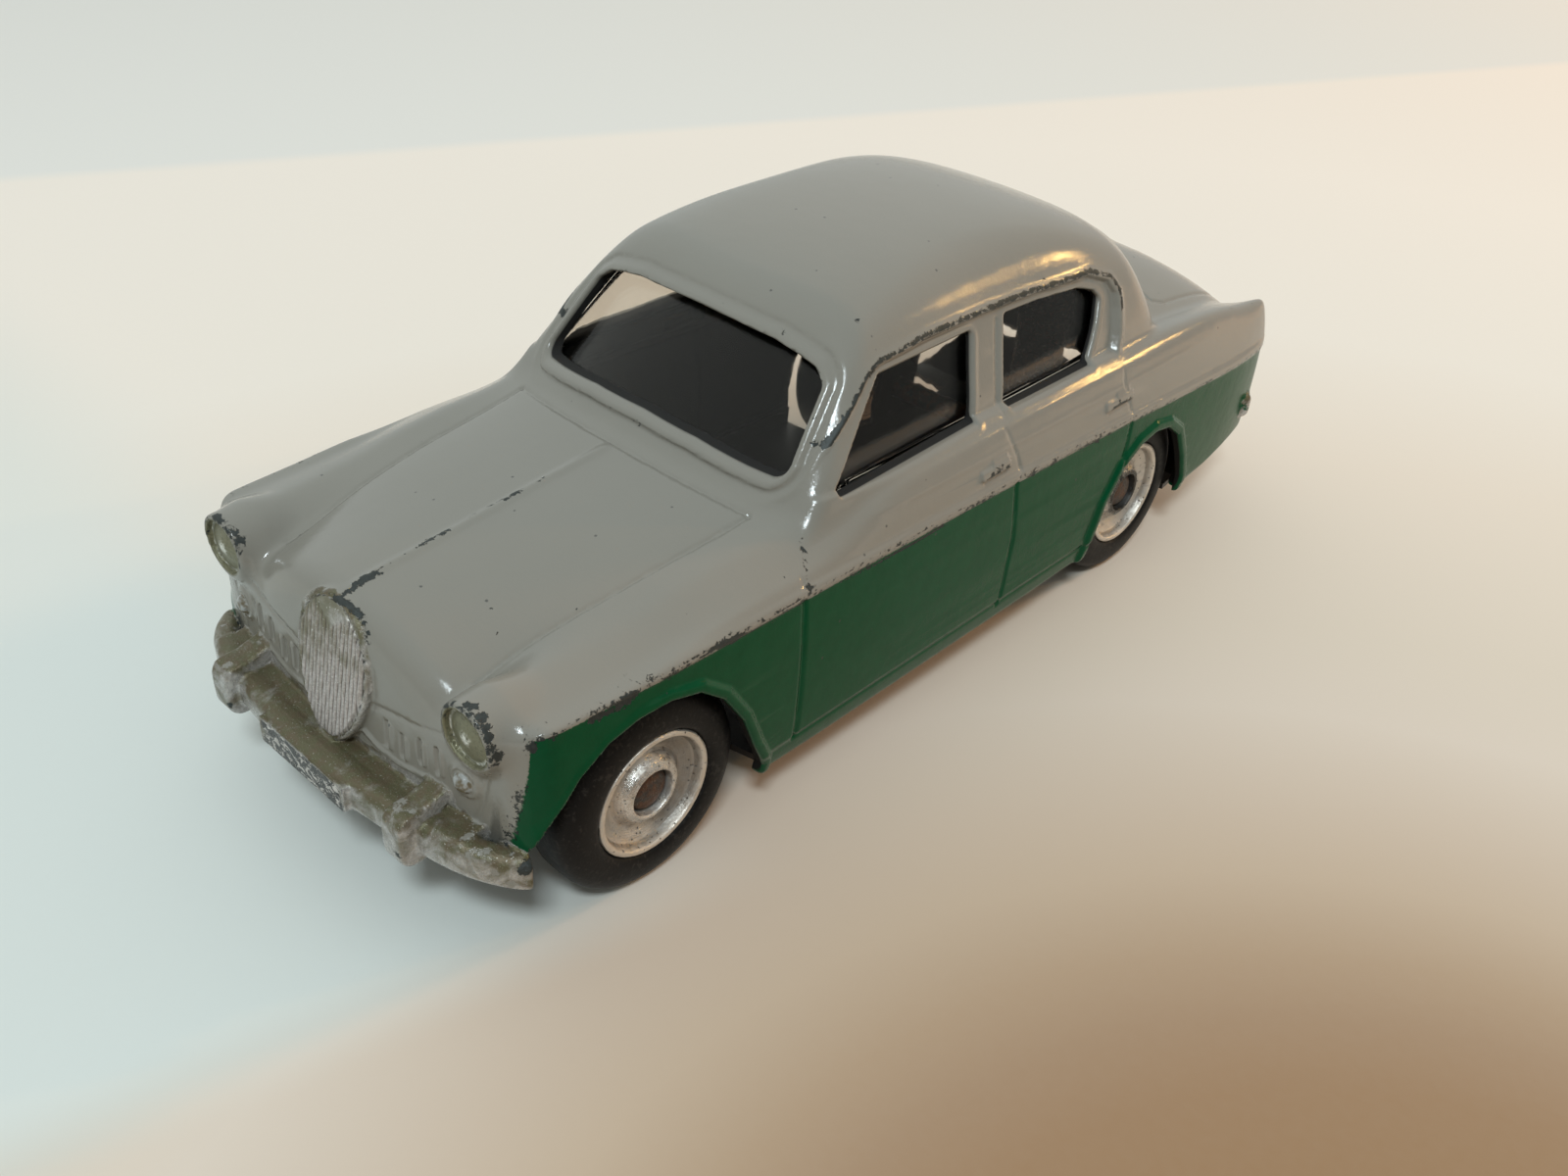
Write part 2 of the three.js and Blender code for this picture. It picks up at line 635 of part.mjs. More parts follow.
const group = new THREE.Group();
group.name = "diecast_saloon";
group.add(meshOf("body_shell", bodyShell().simplify(0.02), MATERIALS.paint));
group.add(meshOf("baseplate", baseplate(), MATERIALS.base));
group.add(meshOf("glazing", glazing(), MATERIALS.glass));
for (const [end, y] of [["front", FRONT_AXLE_Y], ["rear", REAR_AXLE_Y]]) {
  group.add(meshOf(`${end}_axle`, turned(AXLE_PROFILE, 20, y, AXLE_Z), MATERIALS.steel));
  for (const [hand, mirror] of [["left", false], ["right", true]]) {
    group.add(meshOf(`hub_${end}_${hand}`, turned(HUB_PROFILE, SEG_HUB, y, AXLE_Z, mirror), MATERIALS.aluminium));
    group.add(meshOf(`tyre_${end}_${hand}`, turned(TYRE_PROFILE, SEG_TYRE, y, AXLE_Z, mirror), MATERIALS.rubber));
  }
}

export default group;
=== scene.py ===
import math

import bmesh
import bpy
import numpy as np
from mathutils import Matrix, Vector


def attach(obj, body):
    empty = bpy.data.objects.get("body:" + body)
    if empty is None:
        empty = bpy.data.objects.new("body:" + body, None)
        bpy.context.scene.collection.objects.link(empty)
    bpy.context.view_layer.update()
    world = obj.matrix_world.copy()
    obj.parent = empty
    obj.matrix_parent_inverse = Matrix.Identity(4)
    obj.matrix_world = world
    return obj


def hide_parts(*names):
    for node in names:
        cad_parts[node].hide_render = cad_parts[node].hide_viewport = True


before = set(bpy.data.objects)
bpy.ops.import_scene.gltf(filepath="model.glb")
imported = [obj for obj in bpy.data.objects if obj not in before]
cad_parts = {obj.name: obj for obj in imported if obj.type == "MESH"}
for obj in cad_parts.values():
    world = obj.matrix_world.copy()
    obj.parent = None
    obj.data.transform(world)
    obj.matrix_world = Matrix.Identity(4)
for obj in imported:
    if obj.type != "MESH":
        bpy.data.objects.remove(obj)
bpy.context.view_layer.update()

MM = 0.001

# ------------------------------------------------------------------ sizes, in mm (front towards -Y)
FA_Y, RA_Y, AX_Z = -31.18, 23.38, 7.4
TYRE_R = 7.4

BODY = np.array([
    [-43.0, 14.8, 7.0, 16.4, 14.1, 16.8, 12.8, 17.65, 9.0, 15.6, 19.1],
    [-42.6, 15.9, 6.2, 17.2, 15.1, 17.6, 12.8, 18.3, 9.3, 16.1, 19.3],
    [-42.0, 16.5, 5.7, 17.6, 15.7, 17.9, 12.9, 18.45, 9.6, 16.3, 19.4],
    [-40.8, 16.9, 5.3, 17.8, 15.75, 17.95, 13.0, 18.6, 9.8, 16.7, 19.6],
    [-38.5, 17.2, 5.0, 17.85, 15.75, 17.95, 12.9, 18.65, 10.0, 17.3, 19.85],
    [-35, 17.4, 4.6, 17.9, 15.95, 18.0, 13.0, 18.8, 10.2, 18.4, 20.15],
    [-31, 17.5, 4.4, 17.8, 16.05, 18.25, 13.1, 19.2, 10.6, 19.2, 20.55],
    [-27, 17.5, 4.2, 17.7, 16.1, 18.65, 13.3, 19.85, 10.9, 19.75, 21.0],
    [-23, 17.5, 4.0, 17.65, 16.2, 18.9, 13.4, 20.15, 11.3, 20.15, 21.35],
    [-19.5, 17.5, 3.9, 17.6, 16.2, 18.9, 13.6, 20.3, 11.5, 20.6, 21.75],
    [-15, 17.5, 3.8, 17.55, 16.35, 19.4, 14.5, 20.9, 12.0, 21.5, 22.0],
    [-8, 17.5, 3.8, 17.4, 16.7, 20.55, 15.2, 21.8, 12.5, 22.0, 22.2],
    [8, 17.5, 3.8, 17.0, 16.7, 20.4, 15.3, 21.75, 12.5, 22.0, 22.2],
    [16, 17.5, 4.0, 16.7, 16.7, 20.1, 15.3, 21.65, 12.5, 21.8, 22.3],
    [22, 17.5, 4.2, 16.4, 16.6, 19.8, 15.3, 21.5, 12.4, 21.2, 22.4],
    [28, 17.45, 4.6, 16.05, 16.5, 19.3, 15.3, 21.25, 12.4, 20.7, 22.35],
    [33, 17.35, 5.3, 15.75, 16.3, 18.7, 15.3, 20.8, 12.4, 20.2, 22.2],
    [37, 17.2, 6.1, 15.5, 16.1, 18.1, 15.2, 20.15, 12.4, 19.7, 21.8],
    [40, 16.95, 6.6, 15.35, 15.95, 17.7, 15.05, 19.5, 12.3, 18.9, 21.1],
    [42.5, 16.6, 7.0, 15.2, 15.8, 17.4, 14.9, 19.1, 12.2, 17.9, 20.0],
    [44.0, 16.3, 7.4, 15.1, 15.6, 17.3, 14.8, 19.0, 12.0, 16.8, 18.5],
    [45.3, 16.0, 8.2, 14.9, 15.4, 17.1, 14.7, 18.7, 11.8, 15.4, 16.8],
])
CABIN = np.array([
    [17.0, -22.9, 13.3, -20.5, 16.1, 14.3, 27.6, 34.0],
    [19.0, -21.2, 13.1, -18.9, 15.7, 14.0, 27.2, 32.6],
    [20.6, -20.0, 12.9, -17.7, 15.4, 13.8, 26.9, 31.3],
    [22.5, -18.5, 12.6, -16.1, 14.95, 13.3, 26.3, 29.6],
    [25.0, -16.3, 12.1, -14.0, 13.95, 12.5, 25.3, 27.8],
    [27.4, -14.1, 11.5, -11.9, 13.0, 11.9, 24.1, 26.0],
    [28.7, -12.9, 11.1, -10.8, 12.5, 11.4, 23.3, 25.0],
    [29.9, -11.8, 10.6, -9.8, 12.05, 11.0, 22.5, 24.0],
    [31.5, -10.3, 10.0, -8.4, 11.45, 10.4, 21.4, 22.6],
    [34.0, -8.0, 9.2, -6.2, 10.5, 9.6, 19.6, 20.6],
])
ROOF = np.array([
    [-17, 29.0], [-14, 30.3], [-11, 31.25], [-8, 32.05], [-4, 32.6], [0, 32.9], [5, 32.98], [10, 32.8],
    [15, 32.25], [19, 31.25], [22, 30.15], [25, 29.0], [28, 27.7], [31, 26.1],
])
WINDSCREEN = [(-12.1, 22.4), (-9.5, 22.62), (-5.0, 23.1), (0.0, 23.28), (5.0, 23.1), (9.5, 22.62), (12.1, 22.4),
              (11.0, 27.5), (10.0, 28.3), (8.4, 28.72), (6.4, 29.1), (3.0, 29.32), (0.0, 29.38), (-3.0, 29.32), (-6.4, 29.1),
              (-8.4, 28.72), (-10.0, 28.3), (-11.0, 27.5)]
REAR_WINDOW = [(-10.6, 23.9), (10.6, 23.9), (9.6, 28.0), (-9.6, 28.0)]
SIDE_FRONT = [(-14.6, 21.65), (0.5, 21.95), (2.2, 27.65), (-8.1, 27.6)]
SIDE_REAR = [(4.2, 21.8), (15.1, 21.7), (17.2, 24.2), (18.1, 25.8), (17.4, 26.5), (15.3, 27.15), (10.1, 27.62), (6.05, 27.75)]
SIDE_RECESS = [(-17.3, 21.9), (-9.2, 28.1), (-8.0, 28.4), (-3.0, 28.62), (3.0, 28.52), (9.6, 28.35), (16.6, 27.9),
               (19.2, 26.9), (20.0, 25.8), (19.85, 24.7), (19.2, 22.9), (18.6, 21.75), (0.0, 22.1), (-8.0, 22.15)]
ARCH_FRONT = [
    (-41.3, -4), (-41.35, 8.3), (-40.9, 9.7), (-39.6, 11.6), (-37.9, 13.6), (-35.8, 15.0), (-33.6, 15.6),
    (-31.2, 15.7), (-28.8, 15.1), (-26.8, 13.5), (-24.9, 10.7), (-23.6, 7.6), (-22.4, 5.2), (-22.0, -4),
]
ARCH_REAR = [
    (15.9, -4), (16.6, 6.7), (17.4, 9.6), (19.2, 12.2), (21.4, 13.5), (23.6, 13.9), (25.8, 13.5),
    (27.8, 12.1), (29.4, 9.4), (30.6, 6.8), (31.0, -4),
]


# ------------------------------------------------------------------ numeric helpers
def smooth_table(xs, ys, sigma, step=0.05, lo=-60.0, hi=60.0):
    """Monotone cubic through the points, sampled finely and blurred a little: (grid, values)."""
    xs, ys = np.asarray(xs, float), np.asarray(ys, float)
    h = np.diff(xs)
    d = np.diff(ys) / h
    m = np.zeros_like(xs)
    for i in range(1, len(xs) - 1):
        if d[i - 1] * d[i] > 0:
            w1, w2 = 2 * h[i] + h[i - 1], h[i] + 2 * h[i - 1]
            m[i] = (w1 + w2) / (w1 / d[i - 1] + w2 / d[i])
    m[0], m[-1] = d[0], d[-1]
    g = np.arange(lo, hi + step, step)
    k = np.clip(np.searchsorted(xs, g) - 1, 0, len(xs) - 2)
    t = (g - xs[k]) / h[k]
    tc = np.clip(t, 0, 1)
    v = (
        (2 * tc**3 - 3 * tc**2 + 1) * ys[k]
        + (tc**3 - 2 * tc**2 + tc) * h[k] * m[k]
        + (-2 * tc**3 + 3 * tc**2) * ys[k + 1]
        + (tc**3 - tc**2) * h[k] * m[k + 1]
    )
    v = np.where(t < 0, ys[0] + m[0] * (g - xs[0]), v)
    v = np.where(t > 1, ys[-1] + m[-1] * (g - xs[-1]), v)
    if sigma > 0:
        r = int(3 * sigma / step)
        ker = np.exp(-0.5 * (np.arange(-r, r + 1) * step / sigma) ** 2)
        ker /= ker.sum()
        pad = np.concatenate([2 * v[0] - v[r:0:-1], v, 2 * v[-1] - v[-2 : -r - 2 : -1]])
        v = np.convolve(pad, ker, "valid")
    return g, v


class Curve1:
    def __init__(self, xs, ys, sigma=0.6):
        self.g, self.v = smooth_table(xs, ys, sigma)

    def __call__(self, x):
        return np.interp(x, self.g, self.v)


def blur2(a, sigma_px):
    if sigma_px <= 0:
        return a
    r = max(1, int(3 * sigma_px))
    ker = np.exp(-0.5 * (np.arange(-r, r + 1) / sigma_px) ** 2)
    ker /= ker.sum()
    for axis in (0, 1):
        p = np.pad(a, [(r, r) if i == axis else (0, 0) for i in (0, 1)], mode="edge")
        out = np.zeros_like(a)
        n = a.shape[axis]
        for i, w in enumerate(ker):
            out += w * (p[i : i + n] if axis == 0 else p[:, i : i + n])
        a = out
    return a


class Map2:
    """A 2-D table over (u, v) with bilinear lookup."""

    def __init__(self, u0, u1, v0, v1, step):
        self.u0, self.v0, self.step = u0, v0, step
        self.nu, self.nv = int(round((u1 - u0) / step)) + 1, int(round((v1 - v0) / step)) + 1
        self.u = u0 + np.arange(self.nu) * step
        self.v = v0 + np.arange(self.nv) * step
        self.U, self.V = np.meshgrid(self.u, self.v, indexing="ij")
        self.a = np.zeros((self.nu, self.nv), np.float32)

    def set(self, a):
        self.a = np.asarray(a, np.float32)
        return self

    def __call__(self, u, v):
        u, v = np.broadcast_arrays(u, v)
        fu = np.clip((u - self.u0) / self.step, 0, self.nu - 1.001)
        fv = np.clip((v - self.v0) / self.step, 0, self.nv - 1.001)
        iu, iv = fu.astype(np.int32), fv.astype(np.int32)
        tu, tv = (fu - iu).astype(np.float32), (fv - iv).astype(np.float32)
        a = self.a
        return (
            a[iu, iv] * (1 - tu) * (1 - tv)
            + a[iu + 1, iv] * tu * (1 - tv)
            + a[iu, iv + 1] * (1 - tu) * tv
            + a[iu + 1, iv + 1] * tu * tv
        )


def smax(a, b, k):
    h = np.maximum(k - np.abs(a - b), 0) / k
    return np.maximum(a, b) + h * h * (k * 0.25)


def smin(a, b, k):
    h = np.maximum(k - np.abs(a - b), 0) / k
    return np.minimum(a, b) - h * h * (k * 0.25)


def sstep(x, a, b):
    t = np.clip((x - a) / (b - a), 0, 1)
    return t * t * (3 - 2 * t)


def seg_dist(U, V, pts):
    """Distance to a polyline."""
    best = None
    for (a, b), (c, d) in zip(pts[:-1], pts[1:]):
        du, dv = c - a, d - b
        t = np.clip(((U - a) * du + (V - b) * dv) / (du * du + dv * dv), 0, 1)
        q = (U - a - t * du) ** 2 + (V - b - t * dv) ** 2
        best = q if best is None else np.minimum(best, q)
    return np.sqrt(best)


def poly_sdf(U, V, pts, r=0.0):
    """Signed distance to a polygon, negative inside, with corners rounded by r."""
    pts = list(pts)
    area = sum(a[0] * b[1] - b[0] * a[1] for a, b in zip(pts, pts[1:] + pts[:1]))
    if r > 0:
        pts = inset(pts if area > 0 else pts[::-1], r)
    d = seg_dist(U, V, pts + [pts[0]])
    inside = np.zeros(U.shape, bool)
    n = len(pts)
    for i in range(n):
        (x1, y1), (x2, y2) = pts[i], pts[(i + 1) % n]
        if y1 == y2:
            continue
        cross = ((y1 > V) != (y2 > V)) & (U < (x2 - x1) * (V - y1) / (y2 - y1) + x1)
        inside ^= cross
    return np.where(inside, -d, d) - r


def inset(pts, r):
    out = []
    n = len(pts)
    for i in range(n):
        p0, p1, p2 = np.array(pts[i - 1], float), np.array(pts[i], float), np.array(pts[(i + 1) % n], float)
        e1, e2 = (p1 - p0) / np.linalg.norm(p1 - p0), (p2 - p1) / np.linalg.norm(p2 - p1)
        n1, n2 = np.array([-e1[1], e1[0]]), np.array([-e2[1], e2[0]])
        m = n1 + n2
        m = m / (m @ m) * 2
        out.append(tuple(p1 + m * r))
    return out


# ------------------------------------------------------------------ body tables
Y_ = BODY[:, 0]
C_ = {n: Curve1(Y_, BODY[:, i], 0.9) for i, n in enumerate(
    ["y", "W", "zb", "zs", "x6", "z6", "xc", "zc", "xv", "zv", "z0"]) if n != "y"}
Z_ = CABIN[:, 0]
K_ = {n: Curve1(Z_, CABIN[:, i], 0.5) for i, n in enumerate(
    ["z", "yf", "xa", "ya", "xs", "xb", "yb", "yr"]) if n != "z"}
R0 = Curve1(ROOF[:, 0], ROOF[:, 1], 1.6)

STEP = 0.1
# top surface of the lower body, z over (x, y)
top = Map2(0.0, 18.8, -47.0, 47.0, STEP)
zt = np.zeros((top.nu, top.nv))
for j, y in enumerate(top.v):
    W, zs, x6, z6, xc, zc, xv, zv, z0 = [float(C_[k](y)) for k in ("W", "zs", "x6", "z6", "xc", "zc", "xv", "zv", "z0")]
    xs = [-xv * 0.5, 0.0, xv * 0.25, xv * 0.5, xv * 0.75, xv * 0.93, xv, (xv + xc) / 2, xc, (xc + x6) / 2, x6, W - 0.05, W + 1.5]
    dome = lambda f: zv + (z0 - zv) * (1 - f * f) ** 0.9
    zz = [dome(0.5), z0, dome(0.25), dome(0.5), dome(0.75), dome(0.93), zv, zv + (zc - zv) * 0.6, zc,
          zc + (z6 - zc) * 0.42, z6, min(zs + 0.5, z6 - 0.05), zs - 1.6]
    g, v = smooth_table(xs, zz, 0.28, 0.05, -6.0, 22.0)
    zt[:, j] = np.interp(top.u, g, v)
top.set(blur2(zt, 2.5))
gu, gv = np.gradient(top.a, STEP)
topn = Map2(0.0, 18.8, -47.0, 47.0, STEP).set(blur2(1 / np.sqrt(1 + gu**2 + gv**2), 2))

# raised and engraved work on top of the bonnet and boot, over (x, y)
SHUT = [(11.55, -18.9), (11.4, -21), (11.15, -24.5), (10.9, -28.7), (10.45, -33), (9.95, -37), (9.9, -39.6)]
COWL = [(0.0, -20.35), (3.0, -20.28), (6.0, -20.0), (9.0, -19.5), (11.55, -18.9)]
BOOT = [(0.0, 32.6), (4.0, 32.5), (8.0, 32.0), (10.6, 31.3), (11.3, 32.6), (11.3, 37), (11.1, 41), (10.9, 44.5)]


def groove(d, w=0.17):
    return np.exp(-((d / w) ** 2))


tt = Map2(0.0, 18.8, -47.0, 47.0, STEP)
off = -0.13 * groove(seg_dist(tt.U, tt.V, SHUT)) - 0.13 * groove(seg_dist(tt.U, tt.V, COWL))
off += -0.13 * groove(seg_dist(tt.U, tt.V, BOOT))
off += 0.16 * np.exp(-((tt.U / 0.38) ** 2)) * sstep(tt.V, -44.5, -42.0) * (1 - sstep(tt.V, -21.5, -20.2))
off += 0.10 * np.exp(-((tt.U / 0.6) ** 2)) * sstep(tt.V, 33.2, 34.5)
tt.set(off)

# side of the lower body, x over (y, z)
side = Map2(-47.0, 47.0, 1.0, 24.0, STEP)
Wy = C_["W"](side.U)
zs_ = C_["zs"](side.U)
zz = side.V
x = Wy - 0.22 * ((zz - 11.0) / 6.0) ** 2
x = x - 0.26 * np.clip((5.9 - zz) / 2.0, 0, 2) ** 1.5 - 0.12 * sstep(zz, 6.1, 5.7)
x = x - 0.15 * sstep(zz, zs_ + 0.2, zs_ + 0.8) - 0.06 * np.clip(zz - zs_ - 0.6, 0, 3) ** 1.6
side.set(blur2(x, 1.2))

DOOR1 = [(-19.4, 5.9), (-19.4, 17.3), (-19.1, 19.0), (-18.6, 20.6), (-18.2, 22.0)]
DOOR2 = [(3.9, 5.6), (3.9, 9.4), (4.1, 11.8), (3.6, 16.5), (3.8, 17.05), (4.1, 17.7), (3.85, 18.6), (3.2, 20.0), (2.85, 21.1), (3.2, 22.2)]
DOOR3 = [(19.0, 12.4), (19.4, 15.5), (19.45, 16.8), (18.9, 18.4), (18.4, 19.6), (18.9, 21.6)]
SILL = [(-19.4, 5.9), (16.3, 5.9)]
so = Map2(-47.0, 47.0, 1.0, 24.0, STEP)
U, V = so.U, so.V
zsm = C_["zs"](U)
rib = np.exp(-(np.abs((V - zsm - 0.12) / 0.38) ** 4)) * sstep(U, -42.4, -41.6) * (1 - sstep(U, 43.0, 44.5))
o = 0.17 * rib
gm = 1 - 0.75 * rib
o -= 0.15 * groove(seg_dist(U, V, DOOR1), 0.18) * gm + 0.15 * groove(seg_dist(U, V, DOOR2), 0.18) * gm
o -= 0.13 * groove(seg_dist(U, V, DOOR3), 0.18) * gm + 0.12 * groove(seg_dist(U, V, SILL), 0.2)
d_fa = poly_sdf(U, V, ARCH_FRONT)
d_ra = poly_sdf(U, V, ARCH_REAR)
o += 0.30 * (1 - sstep(d_fa, 0.55, 1.0)) * sstep(U, -36.0, -27.0)
o += 0.07 * (1 - sstep(d_fa, 0.3, 0.8)) * (1 - sstep(U, -36.0, -27.0))
o += 0.32 * (1 - sstep(d_ra, 0.65, 1.1))
o += 0.12 * np.exp(-(((U + 40.95) / 0.22) ** 2)) * (1 - sstep(V, 16.6, 17.4)) * sstep(V, 7.5, 9)
for hy, hz, hl in ((1.05, 18.78, 1.55), (17.5, 18.6, 1.75)):
    dy, dz = (U - hy), (V - hz)
    r = np.maximum(np.abs(dy) - hl, 0) ** 2 + np.maximum(np.abs(dz) - 0.1, 0) ** 2
    o += 0.46 * (1 - sstep(np.sqrt(r), 0.1, 0.4))
    r = np.maximum(np.abs(dy - 0.55) - 0.75, 0) ** 2 + np.maximum(np.abs(dz - 0.42) - 0.12, 0) ** 2
    o += 0.24 * (1 - sstep(np.sqrt(r), 0.08, 0.36))
    o -= 0.12 * (1 - sstep(np.sqrt((np.maximum(np.abs(dy) - hl + 0.3, 0)) ** 2 + (dz + 0.5) ** 2), 0.05, 0.35))
# belt beads below the side windows
for z_a, z_b, amp in ((21.55, 20.95, 0.11), (20.1, 19.5, 0.10)):
    zc_ = z_a + (z_b - z_a) * (U + 8) / 28.0
    o += amp * np.exp(-(((V - zc_) / 0.24) ** 2)) * sstep(U, -17.5, -15.0) * (1 - sstep(U, 30.0, 42.0))
so.set(o)
arch_f = Map2(-47.0, 47.0, 1.0, 24.0, STEP).set(d_fa)
arch_r = Map2(-47.0, 47.0, 1.0, 24.0, STEP).set(d_ra)

# cabin maps
cs = Map2(-30.0, 40.0, 16.0, 34.0, STEP)
rec = poly_sdf(cs.U, cs.V, SIDE_RECESS, 0.25)
cso = -0.5 * (1 - sstep(rec, -0.22, 0.12))
cso -= 0.14 * groove(seg_dist(cs.U, cs.V, [(2.9, 20.5), (3.45, 22.0), (4.2, 24.8), (5.05, 27.6)]), 0.17)
wf, wr = poly_sdf(cs.U, cs.V, SIDE_FRONT, 0.3), poly_sdf(cs.U, cs.V, SIDE_REAR, 0.35)
wsd = np.minimum(wf, wr)
cso += 0.10 * np.exp(-(((wsd - 0.28) / 0.26) ** 2))
# drip rail: a bead along the recess top
RAIL = [(-17.0, 22.35), (-9.3, 28.15), (-8.1, 28.6), (-3.0, 28.92), (2.8, 28.8), (9.6, 28.65), (16.8, 28.2), (19.6, 27.15),
        (20.5, 25.9), (20.3, 24.7), (19.6, 22.8), (18.7, 21.4)]
rl = seg_dist(cs.U, cs.V, RAIL)
cso += 0.21 * np.exp(-((rl / 0.3) ** 2)) * (0.35 + 0.65 * sstep(cs.U, -13.0, -9.0))
cs.set(cso)
side_win = Map2(-30.0, 40.0, 16.0, 34.0, STEP).set(wsd)

fx = Map2(-16.0, 16.0, 16.0, 34.0, STEP)
dws = poly_sdf(fx.U, fx.V, WINDSCREEN, 0.75)
wso = 0.24 * np.exp(-(((dws - 0.32) / 0.27) ** 4)) - 0.10 * np.exp(-(((dws - 0.85) / 0.16) ** 2))
wso += 0.10 * np.exp(-(((dws - 1.25) / 0.3) ** 2)) * sstep(np.abs(fx.U), 9.0, 11.0)
ws_off = Map2(-16.0, 16.0, 16.0, 34.0, STEP).set(wso)
ws_d = Map2(-16.0, 16.0, 16.0, 34.0, STEP).set(dws)
drw = poly_sdf(fx.U, fx.V, REAR_WINDOW, 1.7)
rwo = 0.28 * np.exp(-(((drw - 0.4) / 0.38) ** 4)) - 0.08 * np.exp(-(((drw - 1.0) / 0.18) ** 2))
rw_off = Map2(-16.0, 16.0, 16.0, 34.0, STEP).set(rwo)
rw_d = Map2(-16.0, 16.0, 16.0, 34.0, STEP).set(drw)

# front panel relief over (x, z)
fp = Map2(0.0, 18.0, 3.0, 24.0, STEP)
U, V = fp.U, fp.V
o = np.zeros_like(U)
o -= 0.11 * groove(seg_dist(U, V, [(3.3, 13.45), (5.76, 14.0), (7.87, 14.35), (10.4, 15.0)]), 0.15)
o += 0.14 * np.exp(-((seg_dist(U, V, [(2.4, 11.1), (4.06, 10.6), (6.06, 10.45), (8.9, 10.9)]) / 0.2) ** 2))
for sx, s0, s1 in ((4.95, 11.3, 12.9), (6.4, 11.3, 12.75), (8.05, 11.8, 13.3), (9.55, 11.9, 13.5)):
    o -= 0.2 * (1 - sstep(seg_dist(U, V, [(sx, s0), (sx, s1)]), 0.08, 0.26))
    o += 0.12 * (1 - sstep(seg_dist(U, V, [(sx + 0.38, s0), (sx + 0.38, s1)]), 0.08, 0.28))
rr = np.sqrt((U - 11.85) ** 2 + (V - 12.5) ** 2)
o += 0.22 * (1 - sstep(rr, 0.95, 1.3))
o -= 0.08 * np.exp(-(((rr - 0.8) / 0.12) ** 2))
o += 0.42 * np.sqrt(np.clip(1 - (rr / 0.66) ** 2, 0, 1))
o -= 0.08 * groove(seg_dist(U, V, [(13.7, 14.0), (13.2, 11.8), (12.6, 10.0), (12.3, 8.6)]), 0.14)
fp.set(o)

rp = Map2(0.0, 18.0, 3.0, 24.0, STEP)
U, V = rp.U, rp.V
o = np.zeros_like(U)
rr = np.sqrt((U - 13.7) ** 2 + (V - 13.2) ** 2)
o += 0.25 * (1 - sstep(rr, 1.1, 1.4)) + 0.5 * np.sqrt(np.clip(1 - (rr / 0.95) ** 2, 0, 1))
o -= 0.12 * groove(seg_dist(U, V, [(10.9, 18), (10.9, 11.0), (10.3, 10.2), (0, 10.0)]), 0.18)
pl = poly_sdf(U, V, [(-4, 11.2), (4, 11.2), (4, 13.4), (-4, 13.4)], 0.2)
o += 0.3 * (1 - sstep(pl, -0.1, 0.15))
rp.set(o)

WELL_R = 8.25


def lower_fields(ax, y, z):
    t = (z - top(ax, y) - tt(ax, y)) * topn(ax, y)
    s = ax - side(y, z) - so(y, z)
    f = -y - 42.72 + 0.0030 * ax**2 + 0.00001 * ax**4 - 0.08 * (14.0 - z) * np.clip(1 - (ax / 11.5) ** 2, 0, 1)
    f = f - fp(ax, z) * 1.0
    zb = C_["zb"](y)
    zr = 44.95 + 0.045 * (z - 9) - 0.0032 * ax**2 + 1.15 * sstep(z, 14.7, 15.6) * sstep(ax, 12.6, 14.2)
    zr = zr - 0.035 * np.clip(11.0 - z, 0, 6) ** 2 - 0.05 * np.clip(z - 14.5, 0, 6) ** 2 * sstep(ax, 13.4, 10.5)
    r = y - zr - rp(ax, z)
    return t, s, f, r, zb - z


def lower_body(ax, y, z, bottom=True):
    t, s, f, r, b = lower_fields(ax, y, z)
    d = smax(t, s, 0.55)
    d = smax(d, f, 0.9 + 0.9 * sstep(z, 9.5, 11.5))
    # lamp pods that carry the wing tops forward
    rad = np.sqrt((ax - 12.84) ** 2 + (z - 16.62) ** 2)
    pod = smax(rad - 2.28 - 0.05 * (y + 42.5) + 0.25 * np.maximum(y + 40.5, 0) ** 1.5, -y - 42.62 - 0.05 * (z - 16.6), 0.35)
    pod = np.maximum(pod, y + 35.0)
    d = smin(d, pod, 1.0)
    lens_y = -42.18 - 0.34 * (1 - np.clip(rad / 1.85, 0, 1) ** 2) - 0.22 * np.exp(-((rad / 0.5) ** 2))
    hole = np.maximum(rad - 1.88, y - lens_y)
    d = smax(d, -hole, 0.12)
    d = smax(d, r, 1.4)
    if bottom:
        d = smax(d, b, 0.5)
    return d


# bumpers run along a line in plan; the map holds the distance in front of (+) or behind (-) that line
BUMP_F = [(-2.0, -45.05), (0.0, -45.1), (3.0, -45.0), (6.0, -44.6), (9.0, -44.25), (11.5, -43.9), (13.4, -43.3),
          (14.9, -42.4), (15.9, -41.5), (16.35, -40.75)]
BUMP_R = [(-2.0, 44.95), (3.0, 44.95), (8.0, 44.75), (12.0, 44.35), (14.3, 43.75), (15.7, 42.9), (16.4, 42.0)]


def round_path(pts, n=3):
    p = np.array(pts, float)
    for _ in range(n):
        q = np.empty((2 * len(p) - 2, 2))
        q[0::2] = 0.75 * p[:-1] + 0.25 * p[1:]
        q[1::2] = 0.25 * p[:-1] + 0.75 * p[1:]
        p = np.vstack([p[:1], q, p[-1:]])
    return [tuple(v) for v in p]


bump_f = Map2(0.0, 19.0, -47.5, -37.0, STEP)
bump_f.set(seg_dist(bump_f.U, bump_f.V, round_path(BUMP_F)))
bump_r = Map2(0.0, 19.0, 38.0, 47.0, STEP)
bump_r.set(seg_dist(bump_r.U, bump_r.V, round_path(BUMP_R)))


def rbox(u, v, a, b, r):
    """Rounded rectangle of half sizes a, b and corner radius r."""
    qu, qv = np.abs(u) - (a - r), np.abs(v) - (b - r)
    return np.hypot(np.maximum(qu, 0), np.maximum(qv, 0)) + np.minimum(np.maximum(qu, qv), 0) - r


